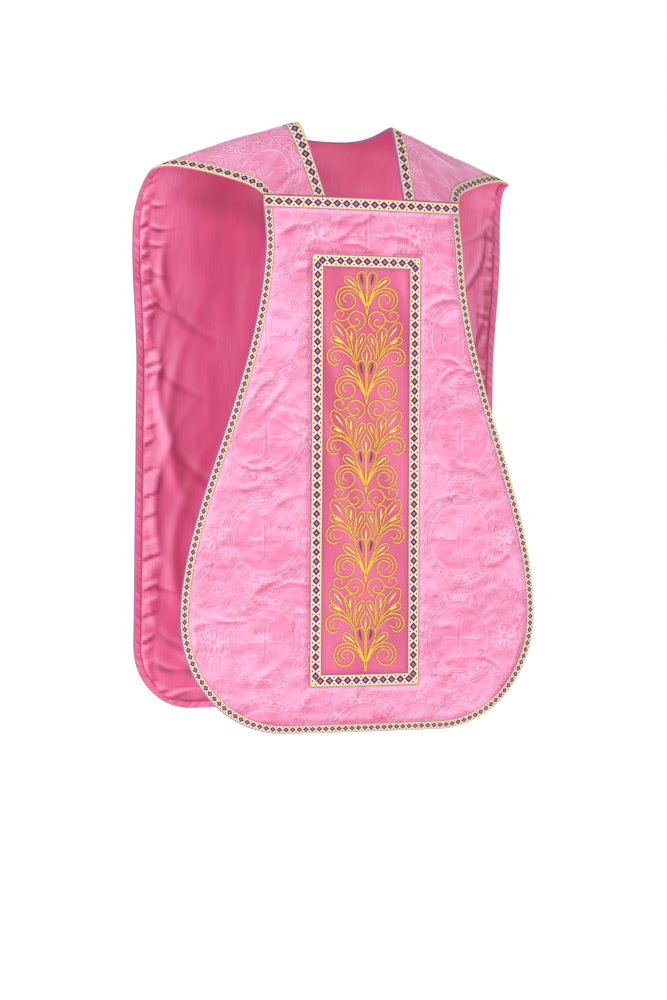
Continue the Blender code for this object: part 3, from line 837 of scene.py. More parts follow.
def make_damask():
    parts = new_material("rose_damask")
    tree = parts[1]
    u, v = flat_terms(tree)
    drift_u = u + 0.0030 * (noise(tree, u, v, 20.0, 1.0) - 0.5)
    drift_v = v + 0.0030 * (noise(tree, u + 3.0, v, 20.0, 1.0) - 0.5)
    lines, disc, textured = damask_figure(drift_u, drift_v)
    shadow, _, _ = damask_figure(drift_u - EMBOSS, drift_v + EMBOSS)
    shade = attribute(tree, "shade")
    cloud = noise(tree, u, v, 7.5, 4.0, 0.7).rise(0.34, 0.66)
    mottle = noise(tree, u * 0.8, v * 1.7, 42.0, 4.0, 0.9).rise(0.34, 0.68)
    # Slope of the scrollwork, painted as a highlight on one side and as painted shade on the other.
    scroll_painted_light = engraving(tree, drift_u, drift_v)
    scroll_painted_light = scroll_painted_light - engraving(tree, drift_u - EMBOSS, drift_v + EMBOSS)
    scroll_painted_light = scroll_painted_light * (1.0 - disc)
    patch = noise(tree, u + 4.0, v + 9.0, 5.0, 1.0).rise(0.42, 0.60)
    # Short pinched creases, bumped in and darkened with painted shade.
    shaded_pinch = (noise(tree, u * 1.5, v, 26.0, 2.0, 0.6) - 0.5).line(0.014)
    shaded_pinch = shaded_pinch * noise(tree, u + 7.0, v + 2.0, 34.0, 1.0).rise(0.58, 0.68)
    colour = tinted(tree, cloud * 0.60 + mottle * 0.40, (0.84, 0.225, 0.415), (0.99, 0.42, 0.665))
    colour = layered(tree, colour, (
        (disc * patch * 0.35, (0.84, 0.20, 0.37)),
        (textured * 0.36, (0.85, 0.22, 0.41)),
        ((shadow - lines).most(0.0) * 0.70, (0.70, 0.120, 0.28)),
        (lines * (0.30 + 0.40 * mottle), (1.0, 0.58, 0.80)),
        ((scroll_painted_light * 1.1).most(0.0), (1.0, 0.55, 0.78)),
        ((scroll_painted_light * -1.3).most(0.0), (0.74, 0.14, 0.31)),
        (shaded_pinch * 0.80, (0.62, 0.085, 0.21)),
        # Painted highlight and painted shade on the creases, from each place's shade value.
        (shade.most(0.0) * 0.60, (1.0, 0.60, 0.81)),
        ((shade * -1.0).most(0.0) * 0.80, (0.62, 0.085, 0.21)),
    ))
    rough = 0.52 - 0.14 * lines + 0.08 * textured
    weave = (u * 5200.0).sin() * 0.05 + (v * 5200.0).sin() * 0.05
    grain = textured * (((u + v) * 3400.0).sin() * 0.16)
    crumple = noise(tree, u, v * 1.3, 60.0, 4.0, 0.7) * 0.9
    height = lines * 0.9 + disc * 0.25 + weave + grain + crumple - shaded_pinch * 0.8
    return finished(parts, colour, rough, height, (0.0011, 0.45), Sheen_Weight=0.20,
                    Sheen_Roughness=0.35, Anisotropic=0.3, Specular_IOR_Level=0.40)


def make_satin(name, dark, light, roughness):
    """Smooth satin: fine warp lines, slow tone changes and a close sheen."""
    parts = new_material(name)
    tree = parts[1]
    u, v = flat_terms(tree)
    slow = noise(tree, u * 1.4, v * 0.7, 6.0, 3.0, 0.5).rise(0.32, 0.68)
    warp = noise(tree, u * 60.0, v * 2.0, 9.0, 2.0).rise(0.3, 0.7)
    shade = attribute(tree, "shade")
    colour = tinted(tree, slow * 0.7 + warp * 0.22, dark, light)
    # Painted highlight and painted shade on the folds, from each place's shade value.
    colour = layered(tree, colour, (
        (shade.most(0.0) * 0.75, (0.98, 0.46, 0.68)),
        ((shade * -1.0).most(0.0) * 0.85, (0.34, 0.012, 0.07)),
    ))
    rough = roughness + 0.10 * warp - 0.05 * slow
    ripple = noise(tree, u * 1.2, v, 34.0, 3.0, 0.4) * 0.8
    threads = (u * 5600.0).sin() * 0.06 + ((u + v) * 2600.0).sin() * 0.04
    return finished(parts, colour, rough, ripple + threads, (0.0012, 0.45), Sheen_Weight=0.30,
                    Sheen_Roughness=0.30, Anisotropic=0.5, Sheen_Tint=(1.0, 0.55, 0.75, 1.0))


def make_canvas():
    parts = new_material("stiff_canvas")
    tree = parts[1]
    u, v = flat_terms(tree)
    checks = (u * 3100.0).sin() * (v * 3100.0).sin()
    slub = noise(tree, u, v * 9.0, 120.0, 3.0).rise(0.35, 0.75)
    colour = tinted(tree, slub * 0.6 + checks.rise(-0.5, 0.9) * 0.3, (0.70, 0.66, 0.56),
                    (0.88, 0.85, 0.78))
    rough = 0.82 + 0.10 * slub
    return finished(parts, colour, rough, checks * 0.4 + slub * 0.4, (0.0006, 0.6))


def make_galloon():
    """Jacquard braid: u counts diamonds along it, v runs from 0 to 1 across it."""
    parts = new_material("galloon_braid")
    tree = parts[1]
    u, v = flat_terms(tree)
    x = u.math("PINGPONG", 0.5)
    y = (v - 0.5).abs()
    lozenge = x * (1.0 / 0.470) + y * (1.0 / 0.335)
    lattice = x * (1.0 / 0.5) + y * (1.0 / 0.395)
    far = 0.5 - x
    dots = (far * (1.0 / 0.120)).hypot((y - 0.275) * (1.0 / 0.062)) - 1.0
    fine = noise(tree, u * 3.0, v, 34.0, 3.0).rise(0.3, 0.7)
    crossing = (lattice - 1.0).line(0.185)
    border = (y - 0.385 + 0.012 * (u * 2.0 * math.pi).cos()).line(0.042)
    diamond = (lozenge - 1.0).inside(0.05)
    heart = (lozenge - 0.40).inside(0.05)
    cross = (x - 0.012).inside(0.012).most((y - 0.010).inside(0.010))
    edge = (y - 0.438).rise(-0.012, 0.012)
    colour = tinted(tree, fine * 0.4, (0.82, 0.79, 0.78), (0.72, 0.68, 0.67))
    colour = layered(tree, colour, (
        (crossing, BRAID_YELLOW),
        (border, BRAID_YELLOW),
        (dots.inside(0.15), (0.10, 0.001, 0.32)),
        (diamond, (0.100, 0.0, 0.36)),
        (heart, (0.60, 0.34, 0.03)),
        (heart * cross * 0.65, (0.16, 0.01, 0.30)),
        (edge, (0.34, 0.17, 0.83)),
        ((y - 0.480).rise(-0.006, 0.006), (0.38, 0.25, 0.20)),
        # Painted shade: the lavender edge is darker where the braid comes down over the cloth's edge.
        ((y - 0.505).rise(-0.004, 0.004), (0.26, 0.14, 0.52)),
    ))
    rough = 0.62 + 0.18 * fine
    rib = (u * 150.0).sin() * 0.14 + (v * 190.0).sin() * 0.10
    raised = diamond * 0.5 + crossing * 0.35 - heart * 0.15
    return finished(parts, colour, rough, raised + rib + edge * 0.3, (0.0005, 0.5),
                    Specular_IOR_Level=0.18)


def make_gold():
    """Satin stitch: u runs along a stroke in metres, v from 0 to 1 across it."""
    parts = new_material("gold_thread")
    tree = parts[1]
    u, v = flat_terms(tree)
    y = (v - 0.5).abs()
    twist = (u * 9000.0 + v * 5.0).sin()
    # Noise that varies the thread's roughness and relief, and the strength of its painted highlight.
    wear_and_gleam = noise(tree, u * 30.0, v, 6.0, 3.0).rise(0.3, 0.7)
    shade = attribute(tree, "shade")
    # Painted highlight along the middle of each stroke; the base colour below darkens towards the
    # stroke's edges.
    painted_highlight = (1.0 - y.rise(0.05, 0.22)) * (0.35 + 0.60 * wear_and_gleam)
    colour = tinted(tree, (y - 0.31).rise(-0.11, 0.11), (0.86, 0.40, 0.003), (0.30, 0.090, 0.001))
    colour = layered(tree, colour, (
        (painted_highlight, (1.0, 0.86, 0.10)),
        (shade.most(0.0) * (1.0 - y.rise(0.06, 0.30)), (1.0, 0.93, 0.36)),
        ((shade * -1.0).most(0.0) * (1.0 - y.rise(0.15, 0.40)), (0.11, 0.045, 0.002)),
        (twist.rise(0.2, 1.0) * 0.22, (0.55, 0.27, 0.02)),
    ))
    rough = 0.30 + 0.16 * wear_and_gleam
    return finished(parts, colour, rough, twist * 0.5 + wear_and_gleam * 0.4, (0.0003, 0.6), Metallic=0.35,
                    Sheen_Weight=0.1)


# ---------------------------------------------------------------- wrinkles
def edge_room(x, z, side, hem):
    """How far a place is inside the panel's side and hem."""
    widths, heights = side(CLOTH_STEP)
    return np.minimum(np.interp(-z, -heights, widths) - np.abs(x), z - hem)


def orphrey_room(x, z):
    """How far a place is outside the orphrey frame."""
    side = np.abs(x) - ORPHREY_HALF
    end = np.maximum(z - ORPHREY_TOP_Z, ORPHREY_BOTTOM_Z - z)
    return np.maximum(side, end)


def scattered_creases(x, z, seed, count, spread, heights):
    """Creases over a panel, each lying roughly crossways."""
    rng = np.random.default_rng(seed)
    total = np.zeros_like(x)
    for _ in range(count):
        side = 1.0 if rng.random() < 0.5 else -1.0
        spot = (side * rng.uniform(*spread), rng.uniform(*heights))
        angle = side * rng.uniform(-55.0, 35.0)
        length = rng.uniform(0.010, 0.040)
        width = rng.uniform(0.0032, 0.0070)
        height = rng.uniform(0.0005, 0.0016)
        total += crease(x, z, spot, angle, length, width, height, rng.uniform(-0.45, 0.45))
    return total


def crumple(x, z, lumps, groups):
    """Lumps and creases of free cloth."""
    return waves(x, z, lumps, 1.0) + sum(scattered_creases(x, z, *group) for group in groups)


def front_crumple(x, z):
    room = edge_room(x, z, front_side, FRONT_HEM_Z) - EDGE_GALLOON
    clear = ease(room / CLEAR_RUN) * ease((orphrey_room(x, z) - 0.001) / FRAME_CLEAR_RUN)
    clear = clear * ease((CHEST_SEAM_Z - WIDE_GALLOON - z) / FRAME_CLEAR_RUN)
    return clear * crumple(x, z, FRONT_LUMPS, FRONT_CREASES)


def shoulder_room(spots):
    """How far a place of the shoulders is from the braids of the neck and armhole."""
    corner = RING_FRONT + RING_SIDE
    points = spots[:, :3] * np.where(spots[:, :1] < 0.0, (-1.0, 1.0, 1.0), 1.0)
    room = np.full(len(points), 1.0)
    for edge, last, width in ((0.0, RING, WIDE_GALLOON), (1.0, corner, ARMHOLE_GALLOON)):
        line = ring_place(np.linspace(0.0, last, 260), edge)[:, :3]
        square = ((points ** 2).sum(axis=1)[:, None] + (line ** 2).sum(axis=1)[None, :]
                  - 2.0 * points @ line.T)
        room = np.minimum(room, np.sqrt(np.maximum(0.0, square.min(axis=1))) - width)
    return room


def back_crumple(x, v, clear):
    return clear * crumple(x, v, BACK_LUMPS, BACK_CREASES)


def back_clear(spots):
    """1 where the back cloth is free to crease, 0 under its trimmings."""
    x, v = spots[:, 6], spots[:, 7]
    room = np.minimum(edge_room(x, v, back_side, BACK_HEM_Z) - EDGE_GALLOON, 0.1)
    room = np.where(v > BACK_SEAM_Z, shoulder_room(spots), room)
    return ease(room / CLEAR_RUN) * ease((orphrey_room(x, v) - 0.001) / FRAME_CLEAR_RUN)


def front_wrinkles(spots):
    return FACE_LEVEL + FACE + front_crumple(spots[:, 6], spots[:, 7])


def back_wrinkles(spots):
    return FACE_LEVEL + FACE + back_crumple(spots[:, 6], spots[:, 7], back_clear(spots))


def front_shade(spots):
    return relief(front_crumple, spots[:, 6], spots[:, 7], RELIEF_GAIN)


def back_shade(spots):
    clear = back_clear(spots)

    def height(x, v):
        return back_crumple(x, v, clear)

    return relief(height, spots[:, 6], spots[:, 7], RELIEF_GAIN)


# Folds of the slack back lining: spot, angle, half length, half width, height.
LINING_FOLDS = (
    ((-0.314, -0.138), -22.0, 0.016, 0.0042, 0.0022), ((-0.312, -0.174), -28.0, 0.020, 0.0048, 0.0026),
    ((-0.314, -0.204), -20.0, 0.018, 0.0044, 0.0024), ((-0.318, -0.245), -48.0, 0.022, 0.0050, 0.0022),
    ((-0.314, -0.290), -64.0, 0.030, 0.0046, 0.0034), ((-0.286, -0.290), -66.0, 0.062, 0.0100, 0.0058),
    ((-0.306, -0.400), -62.0, 0.060, 0.0100, 0.0048), ((-0.286, -0.520), -66.0, 0.110, 0.0110, 0.0066),
    ((-0.318, -0.500), -84.0, 0.060, 0.0065, 0.0036), ((-0.268, -0.600), -70.0, 0.140, 0.0140, 0.0070),
    ((-0.305, -0.690), -80.0, 0.110, 0.0120, 0.0056), ((-0.312, -0.780), -50.0, 0.030, 0.0060, 0.0030),
    ((-0.262, -0.800), -74.0, 0.120, 0.0150, 0.0060), ((-0.300, -0.860), -58.0, 0.050, 0.0080, 0.0042),
    ((-0.296, -0.925), -40.0, 0.034, 0.0064, 0.0034), ((-0.240, -0.930), -35.0, 0.060, 0.0100, 0.0042),
    ((0.322, -0.150), 60.0, 0.030, 0.0055, 0.0030), ((0.312, -0.200), 78.0, 0.070, 0.0065, 0.0044),
    ((0.318, -0.300), 84.0, 0.080, 0.0070, 0.0050), ((0.296, -0.360), 80.0, 0.120, 0.0085, 0.0060),
    ((0.322, -0.470), 76.0, 0.090, 0.0070, 0.0048), ((0.290, -0.560), 84.0, 0.150, 0.0110, 0.0064),
    ((0.262, -0.420), 88.0, 0.170, 0.0110, 0.0056), ((0.305, -0.760), 78.0, 0.120, 0.0110, 0.0050),
    ((0.250, -0.850), 66.0, 0.110, 0.0120, 0.0052), ((0.090, -0.700), 82.0, 0.200, 0.0200, 0.0040),
    ((-0.120, -0.620), -80.0, 0.220, 0.0220, 0.0044), ((0.010, -0.860), 12.0, 0.160, 0.0160, 0.0034),
)
FOLD_TOP = -0.075             # flat height at which the lining starts to be slack


def hem_pucker(x, z, room):
    """Short pulls in the lining, running in from the hem's stitching."""
    pull = soft_noise(z + 0.35 * np.abs(x), x * 0.0, 0.009, 1.0, 31)
    reach = 0.014 + 0.014 * (1.0 + soft_noise(z, x * 0.0, 0.05, 1.0, 32))
    depth = np.clip((room - HEM_WIDTH) / reach, 0.0, 1.0)
    return 0.0017 * (1.0 + pull) * np.sin(math.pi * depth ** 0.6)


def slack(x, z, side, hem, folds, seed):
    """How far the lining stands off the canvas."""
    room = edge_room(x, z, side, hem)
    free = ease((room - HEM_WIDTH) / 0.030)
    bag = waves(x, z, ((0.0014, 0.055, 0.150, seed), (0.0006, 0.022, 0.060, seed + 1)), 1.0)
    for spot, angle, length, width, height in folds:
        bag = bag + crease(x, z, spot, angle, length, width, height)
    return free * bag + hem_pucker(x, z, room)


def back_bag(x, v):
    below = ease((FOLD_TOP - v) / 0.05)
    return below * slack(x, v, back_side, BACK_HEM_Z, LINING_FOLDS, 41)


def front_bag(x, z):
    below = ease((CHEST_SEAM_Z - 0.03 - z) / 0.06)
    return below * slack(x, z, front_side, FRONT_HEM_Z, (), 51)


def back_slack(spots):
    return -back_bag(spots[:, 6], spots[:, 7])


def front_slack(spots):
    return -front_bag(spots[:, 6], spots[:, 7])


def back_slack_shade(spots):
    """Painted light on the folds, with painted shadow under the shoulders."""
    x, v = spots[:, 6], spots[:, 7]
    dark = 0.45 * np.exp(-((np.abs(x) - 0.21) / 0.07) ** 2 - ((v + 0.09) / 0.055) ** 2)
    return relief(back_bag, x, v, SLACK_GAIN) - dark


def front_slack_shade(spots):
    return relief(front_bag, spots[:, 6], spots[:, 7], SLACK_GAIN)


# ---------------------------------------------------------------- cloths
CLOTHS = {
    "front": {"grid": front_grid, "wrinkles": front_wrinkles, "shade": front_shade,
              "slack": front_slack, "slack_shade": front_slack_shade, "face": ("front_face",),
              "interlining": ("front_interlining",), "lining": ("front_lining",)},
    "back": {"grid": back_grids, "wrinkles": back_wrinkles, "shade": back_shade,
             "slack": back_slack, "slack_shade": back_slack_shade,
             "face": ("yoke_face", "back_face"), "lining": ("yoke_lining", "back_lining"),
             "interlining": ("yoke_interlining_left", "yoke_interlining_right",
                             "back_interlining")},
}


def add_cloths(made, side):
    """Damask, canvas and lining of one side of the garment."""
    cloth = CLOTHS[side]
    fine = cloth["grid"](CLOTH_STEP)
    under = cloth["slack"]

    def over(spots):
        return under(spots) + LINING

    damask, area = add_shell(f"{side}_damask", fine, FACE_LEVEL, cloth["wrinkles"],
                             made["damask"], LINING + 0.0002, cloth["shade"])
    canvas, _ = add_shell(f"{side}_canvas", cloth["grid"](CANVAS_STEP, TURNED_EDGE),
                          INTERLINING_LEVEL, INTERLINING_LEVEL + INTERLINING, made["canvas"])
    satin, _ = add_shell(f"{side}_satin", fine, under, over, made["lining"], None,
                         cloth["slack_shade"])
    pieces = {"face": damask, "interlining": canvas, "lining": satin}
    for layer, piece in pieces.items():
        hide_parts(*cloth[layer])
    return pieces, area


def bend(piece, side):
    """Bakes the piece's placement into its mesh; the bend's start and end are looked up but not used.
    """
    start, end = FRONT_BEND if side == "front" else BACK_BEND
    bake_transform(piece)


# ---------------------------------------------------------------- braids
ACROSS = np.array((0.0, 0.03, 0.07, 0.12, 0.30, 0.50, 0.70, 0.88, 0.93, 0.97, 1.0))
ACROSS_HEIGHT = np.array((0.45, 0.95, 0.95, 0.72, 0.92, 1.0, 0.92, 0.72, 0.95, 0.95, 0.45))
OVERHANG = 0.0007             # an edge braid hangs this far past the cloth's edge
EDGE_DROP = 0.0030            # and comes down this far over its thickness
# Where an edge braid's figure starts, on the part that comes down and on the part that lies flat.
SELVEDGE = (-0.05, 0.0)
TURNED_OVER = (0.0, 0.13)


def add_braid(made, name, strip, pitch, over_edge=None, level=TRIM_LEVEL):
    """Closed braid over a strip of places, rows along it and columns across it.

    Its figure runs square to the braid, also where the rows lie at a slant, and has a
    whole diamond at each end.
    """
    middle = strip[:, strip.shape[1] // 2, :3]
    along = np.concatenate([[0.0], np.cumsum(np.linalg.norm(np.diff(middle, axis=0), axis=1))])
    ahead = unit(np.gradient(middle, axis=0))
    slant = np.sum((strip[..., :3] - middle[:, None]) * ahead[:, None], axis=-1)
    repeats = max(1, round(along[-1] / pitch))
    outer, first = over_edge if over_edge else (-1.0, 0.0)
    strip = strip.copy()
    strip[..., 6] = (along[:, None] + slant) / along[-1] * repeats + 0.5
    strip[..., 7] = mix(first, 1.0, ACROSS[None, :])
    if over_edge:
        strip = with_edge_column(strip, outer)

    def under(spots):
        return level - EDGE_DROP * np.clip((first - spots[:, 7]) / (first - outer), 0.0, 1.0)

    def over(spots):
        share = (spots[:, 7] - first) / (1.0 - first)
        return under(spots) + GALLOON_THICK * np.interp(share, ACROSS, ACROSS_HEIGHT)

    piece, _ = add_shell(f"braid_{name}", [strip], under, over, made["galloon"])
    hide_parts(name)
    return piece


def with_edge_column(strip, outer):
    """The strip with one more column, just past the edge that its first column is on."""
    column = strip[:, :1].copy()
    column[..., :3] += unit(strip[:, :1, :3] - strip[:, 2:3, :3]) * OVERHANG
    column[..., 7] = outer
    return np.concatenate([column, strip], axis=1)


def panel_strip(surface, x, z, width, across=ACROSS):
    """Strip of a width inside an edge that runs down the left side, or round the panel."""
    slope_x, slope_z = np.gradient(x), np.gradient(z)
    length = np.hypot(slope_x, slope_z)
    inward_x, inward_z = slope_z / length, -slope_x / length
    share = across[None, :] * width
    return surface(x[:, None] + inward_x[:, None] * share, z[:, None] + inward_z[:, None] * share)


def round_edge(side, top):
    """A panel's whole edge: down the left, along the hem and up the right."""
    x, z = side
    x, z = x[z <= top], z[z <= top]
    hem = np.linspace(x[-1], -x[-1], int(2 * x[-1] / BRAID_STEP) + 1)[1:-1]
    return (np.concatenate([x, hem, -x[::-1]]),
            np.concatenate([z, np.full(len(hem), z[-1]), z[::-1]]))


def ring_strip(first, last, edge, width):
    """Strip of the shoulders along the neck, edge 0, or the armhole, edge 1."""
    stations = np.linspace(first, last, int(abs(last - first) * 22) + 1)
    half = np.minimum(stations, 2 * RING - stations)
    share = braid_share(half, edge, width)
    spans = share[:, None] * ACROSS[None, :]
    return ring_place(stations[:, None] + 0.0 * spans, spans if edge == 0.0 else 1.0 - spans)


def mirrored(strip):
    """The same strip on the wearer's right."""
    return strip * np.array((-1.0, 1.0, 1.0, -1.0, 1.0, 1.0, 1.0, 1.0))


def armhole_strip():
    """Strip from the chest seam round the armhole and straight down the side."""
    upper = ring_strip(0.0, RING_FRONT + RING_SIDE - 0.35, 1.0, ARMHOLE_GALLOON)
    last = upper[-1]
    z = np.linspace(last[0, 2], BACK_SEAM_Z + BUTT_GAP, 14)[1:]
    x = BACK_TOP_HALF - ACROSS[None, :] * ARMHOLE_GALLOON
    low = on_back(x + 0.0 * z[:, None], z[:, None])
    share = np.linspace(0.0, 1.0, len(low) + 1)[1:, None, None]
    drop = (z - last[0, 2])[:, None, None]
    down = np.array((0.0, 0.0, 1.0, 0.0, 0.0, 0.0, 0.0, 0.0))
    return np.concatenate([upper, mix(last[None] + down * drop, low, ease(share))])


def add_shoulder_braids(made):
    corner = RING_FRONT + RING_SIDE
    neck = ring_strip(0.0, corner - BUTT_GAP / WIDE_GALLOON, 0.0, WIDE_GALLOON)
    back = ring_strip(corner, 2 * RING - corner, 0.0, WIDE_GALLOON)
    pieces = []
    for name, strip, pitch, turn in (("neck_galloon", neck, NECK_PITCH, SELVEDGE),
                                     ("armhole_galloon", armhole_strip(), ARMHOLE_PITCH,
                                      TURNED_OVER)):
        for side, shape in (("left", strip), ("right", mirrored(strip))):
            pieces.append(add_braid(made, f"{name}_{side}", shape, pitch, turn))
    pieces.append(add_braid(made, "neck_galloon_back", back, NECK_PITCH, SELVEDGE))
    for piece in pieces:
        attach(piece, "yoke")
    return pieces


def add_edge_braids(made):
    top = CHEST_SEAM_Z - WIDE_GALLOON - BUTT_GAP
    x = np.linspace(CHEST_HALF, -CHEST_HALF, int(2 * CHEST_HALF / BRAID_STEP) + 1)
    z = CHEST_SEAM_Z - ACROSS[None, :] * WIDE_GALLOON
    chest = add_braid(made, "chest_galloon", on_front(x[:, None] + 0.0 * z, z), CHEST_PITCH)
    edges = {"front": panel_strip(on_front, *round_edge(front_side(BRAID_STEP), top),
                                  EDGE_GALLOON),
             "back": panel_strip(on_back, *round_edge(back_side(BRAID_STEP), BACK_SEAM_Z),
                                 EDGE_GALLOON)}
    braids = {side: [add_braid(made, f"{side}_edge_galloon", strip, NARROW_PITCH, SELVEDGE)]
              for side, strip in edges.items()}
    braids["front"].insert(0, chest)
    for side, pieces in braids.items():
        for piece in pieces:
            bend(piece, side)
    return braids


def add_orphrey_frame(side, surface, made):
    """Four mitred lengths of wide braid round the satin."""
    share = ACROSS[None, :]
    slip = BUTT_GAP / 2
    along = np.linspace(-1.0, 1.0, int(2 * ORPHREY_HALF / BRAID_STEP) + 1)[:, None]
    level = (ORPHREY_HALF - WIDE_GALLOON * share - slip) * along
    down = np.linspace(0.0, 1.0, int((ORPHREY_TOP_Z - ORPHREY_BOTTOM_Z) / BRAID_STEP) + 1)
    post = ORPHREY_HALF - WIDE_GALLOON * share + 0.0 * down[:, None]
    fall = mix(ORPHREY_TOP_Z - slip - WIDE_GALLOON * share,
               ORPHREY_BOTTOM_Z + slip + WIDE_GALLOON * share, down[:, None])
    strips = {"top": surface(level, ORPHREY_TOP_Z - WIDE_GALLOON * share + 0.0 * along),
              "bottom": surface(level, ORPHREY_BOTTOM_Z + WIDE_GALLOON * share + 0.0 * along),
              "left": surface(post, fall),
              "right": surface(-post, fall)}
    return [add_braid(made, f"{side}_orphrey_galloon_{end}", strip, FRAME_PITCH,
                      level=FRAME_LEVEL) for end, strip in strips.items()]


# ---------------------------------------------------------------- embroidery
# Strokes of the right half of each group, in millimetres from the column's middle and down
# from the top of the palmette above.  A loop is an outlined leaf, a seed fills it.
PALMETTE = (
    ("loop", ((0, 61.5), (1.3, 37), (0.8, 13.5), (3.5, 4.5), (9.6, 0.8), (16.5, 4.5), (18.6, 11.5),
              (14, 26), (6.2, 44), (1.3, 60))),
    ("loop", ((1.6, 59), (11.5, 34.5), (22.2, 17.8), (32.5, 10), (40, 11), (40.5, 18), (31.6, 25.8),
              (17, 33.2), (7.5, 45.5), (2.1, 60))),
    ("cord", ((0, 75.7), (2.7, 60), (11.5, 40.6), (23.6, 30), (37, 27.5), (50.4, 33), (56, 46.7),
              (51.7, 59), (41, 65.4), (28, 62.7), (21, 52.8), (23.6, 43), (33, 38.3), (41.3, 43),
              (41.3, 50.4), (34.3, 53.6))),
    ("fine", ((4.3, 57.8), (14.2, 41.3), (27.6, 33.9), (41, 34.9), (49.3, 43), (48.8, 54),
              (43, 59.7))),
    ("dark", ((10.5, 4.6), (9.8, 13), (7.0, 24))),
    ("seed", ((37.5, 13.5), (28, 19.5), (17, 29))),
)
ACANTHUS = (
    ("cord", ((17.4, 101.3), (7.5, 93.4), (3.2, 83.6), (7, 73.2), (18.2, 68), (29.5, 72.5),
              (33.8, 82.3), (29, 91), (18.8, 93), (13.7, 86.8), (17.7, 81), (23.6, 83.6))),
    ("fine", ((32.2, 77.4), (39.7, 83.6), (50.4, 83.6), (57.6, 76.2), (54.4, 68.8), (45.6, 67.6),
              (41.5, 73), (45.6, 76.7))),
    ("loop", ((25, 133), (29, 115.5), (38.3, 100.8), (49, 89.7), (58.4, 85.3), (64.3, 89.7),
              (63.8, 100.8), (55.7, 113), (39.7, 124), (29, 135))),
    ("loop", ((29, 136.4), (39.7, 124), (51.7, 113.6), (61, 110.6), (65.4, 115), (61, 121.7),
              (47.7, 126), (33, 136.4))),
    ("loop", ((22.2, 145), (19.6, 123), (18.2, 105.7), (22.2, 97.1), (28.9, 94.6), (35.6, 98.3),
              (36.4, 108.2), (31.6, 123), (25, 143.8))),
    ("loop", ((17, 148.7), (13, 135), (7, 123), (2.1, 113), (4.3, 106.4), (10.7, 107.7),
              (16, 116.8), (18.2, 132.7), (18.2, 148.7))),
    ("cord", ((0, 122.4), (3.5, 130.3), (8.2, 138.5), (7.5, 146.3), (3.5, 153.6), (0.8, 157.3))),
    ("cord", ((17, 157.3), (25, 143.8), (37, 132.7), (50.4, 128.3), (64.5, 131.5), (71, 142),
              (68, 153.6), (58.4, 159.3), (49, 156))),
    ("fine", ((18.2, 159.8), (30.3, 145), (42.3, 137.2), (54.4, 135.2), (63, 140), (63.5, 148.7),
              (57, 154.4))),
    ("fine", ((57, 141.5), (57.5, 148), (51.5, 152), (45, 147.5))),
    ("seed", ((56.3, 93), (49, 101), (41, 111.8))),
    ("seed", ((58, 115.5), (51, 119), (43.7, 123))),
    ("seed", ((27.6, 101.3), (27.4, 111), (26.8, 120.4))),
    ("seed", ((7, 111), (10.4, 118), (13, 125.4))),
)
FLAME_SEED = ("seed", ((0.0, 136.0), (0.0, 147.0), (0.0, 157.0)))
# Width and height of each kind of stroke.
STROKES = {"cord": (3.2, 1.40), "loop": (2.7, 1.25), "fine": (2.5, 1.10), "seed": (4.8, 1.40),
           "dark": (4.6, 1.20)}
# How light each kind of stroke is: 1 is pale yellow, -1 is brown.
STROKE_TONES = {"cord": 0.0, "loop": 0.0, "fine": 0.15, "seed": 0.9, "dark": -1.0}
STROKE_SIDES = 7
STROKE_STEP = 0.9


def smooth_line(points, step):
    """Catmull-Rom line through points, with evenly spaced stops."""
    p = np.asarray(points, float)
    p = np.concatenate([[2 * p[0] - p[1]], p, [2 * p[-1] - p[-2]]])
    u = np.linspace(0.0, 1.0, 24, endpoint=False)[:, None]
    runs = []
    for a, b, c, d in zip(p, p[1:], p[2:], p[3:]):
        runs.append(0.5 * (2 * b + (c - a) * u + (2 * a - 5 * b + 4 * c - d) * u ** 2
                           + (3 * b - a - 3 * c + d) * u ** 3))
    line = np.concatenate(runs + [p[-2:-1]])
    along = np.concatenate([[0.0], np.cumsum(np.linalg.norm(np.diff(line, axis=0), axis=1))])
    stops = np.linspace(0.0, along[-1], max(6, int(along[-1] / step)))
    return np.stack([np.interp(stops, along, line[:, k]) for k in (0, 1)], axis=-1), stops


def stroke_mesh(surface, top, kind, points, rise):
    """One raised stroke: points in millimetres, placed on the surface below top."""
    line, stops = smooth_line(points, STROKE_STEP)
    width, height = STROKES[kind]
    share = stops / stops[-1]
    if kind in ("seed", "dark"):
        body = np.sin(math.pi * np.clip(share, 0.0, 1.0) ** 0.75) ** 0.7
    else:
        taper = 2.0 / stops[-1]
        body = np.minimum(1.0, 0.35 + 0.65 * np.minimum(share, 1.0 - share) / taper / 2)
    body = np.maximum(body, 0.02)
    slope = np.gradient(line, axis=0)
    slope /= np.linalg.norm(slope, axis=1, keepdims=True)
    side = np.stack([-slope[:, 1], slope[:, 0]], axis=-1)
    turn = np.linspace(0.0, math.pi, STROKE_SIDES)
    offset = -np.cos(turn)[None, :] * (width / 2 * body)[:, None]
    lift = np.sin(turn)[None, :] ** 0.8 * (height * body ** 0.6)[:, None] * rise
    flat = line[:, None, :] + side[:, None, :] * offset[:, :, None]
    spots = surface(flat[..., 0] * MM, top - flat[..., 1] * MM)
    points3 = spots[..., :3] + spots[..., 3:6] * (STITCH_LEVEL + lift * MM)[..., None]
    uv = np.stack([np.repeat(stops[:, None] * MM, STROKE_SIDES, 1),
                   np.repeat(np.linspace(0.0, 1.0, STROKE_SIDES)[None, :], len(stops), 0)], -1)
    return points3, uv


def tube_faces(rows, start, flip):
    """Quads round an open-ended run of rings, and a cap on each end."""
    index = start + np.arange(rows * STROKE_SIDES).reshape(rows, STROKE_SIDES)
    after = np.roll(index, -1, axis=1)
    quads = np.stack([index[:-1], index[1:], after[1:], after[:-1]], axis=-1).reshape(-1, 4)
    faces = quads.tolist() + [index[0].tolist(), index[-1][::-1].tolist()]
    return [face[::-1] for face in faces] if flip else faces


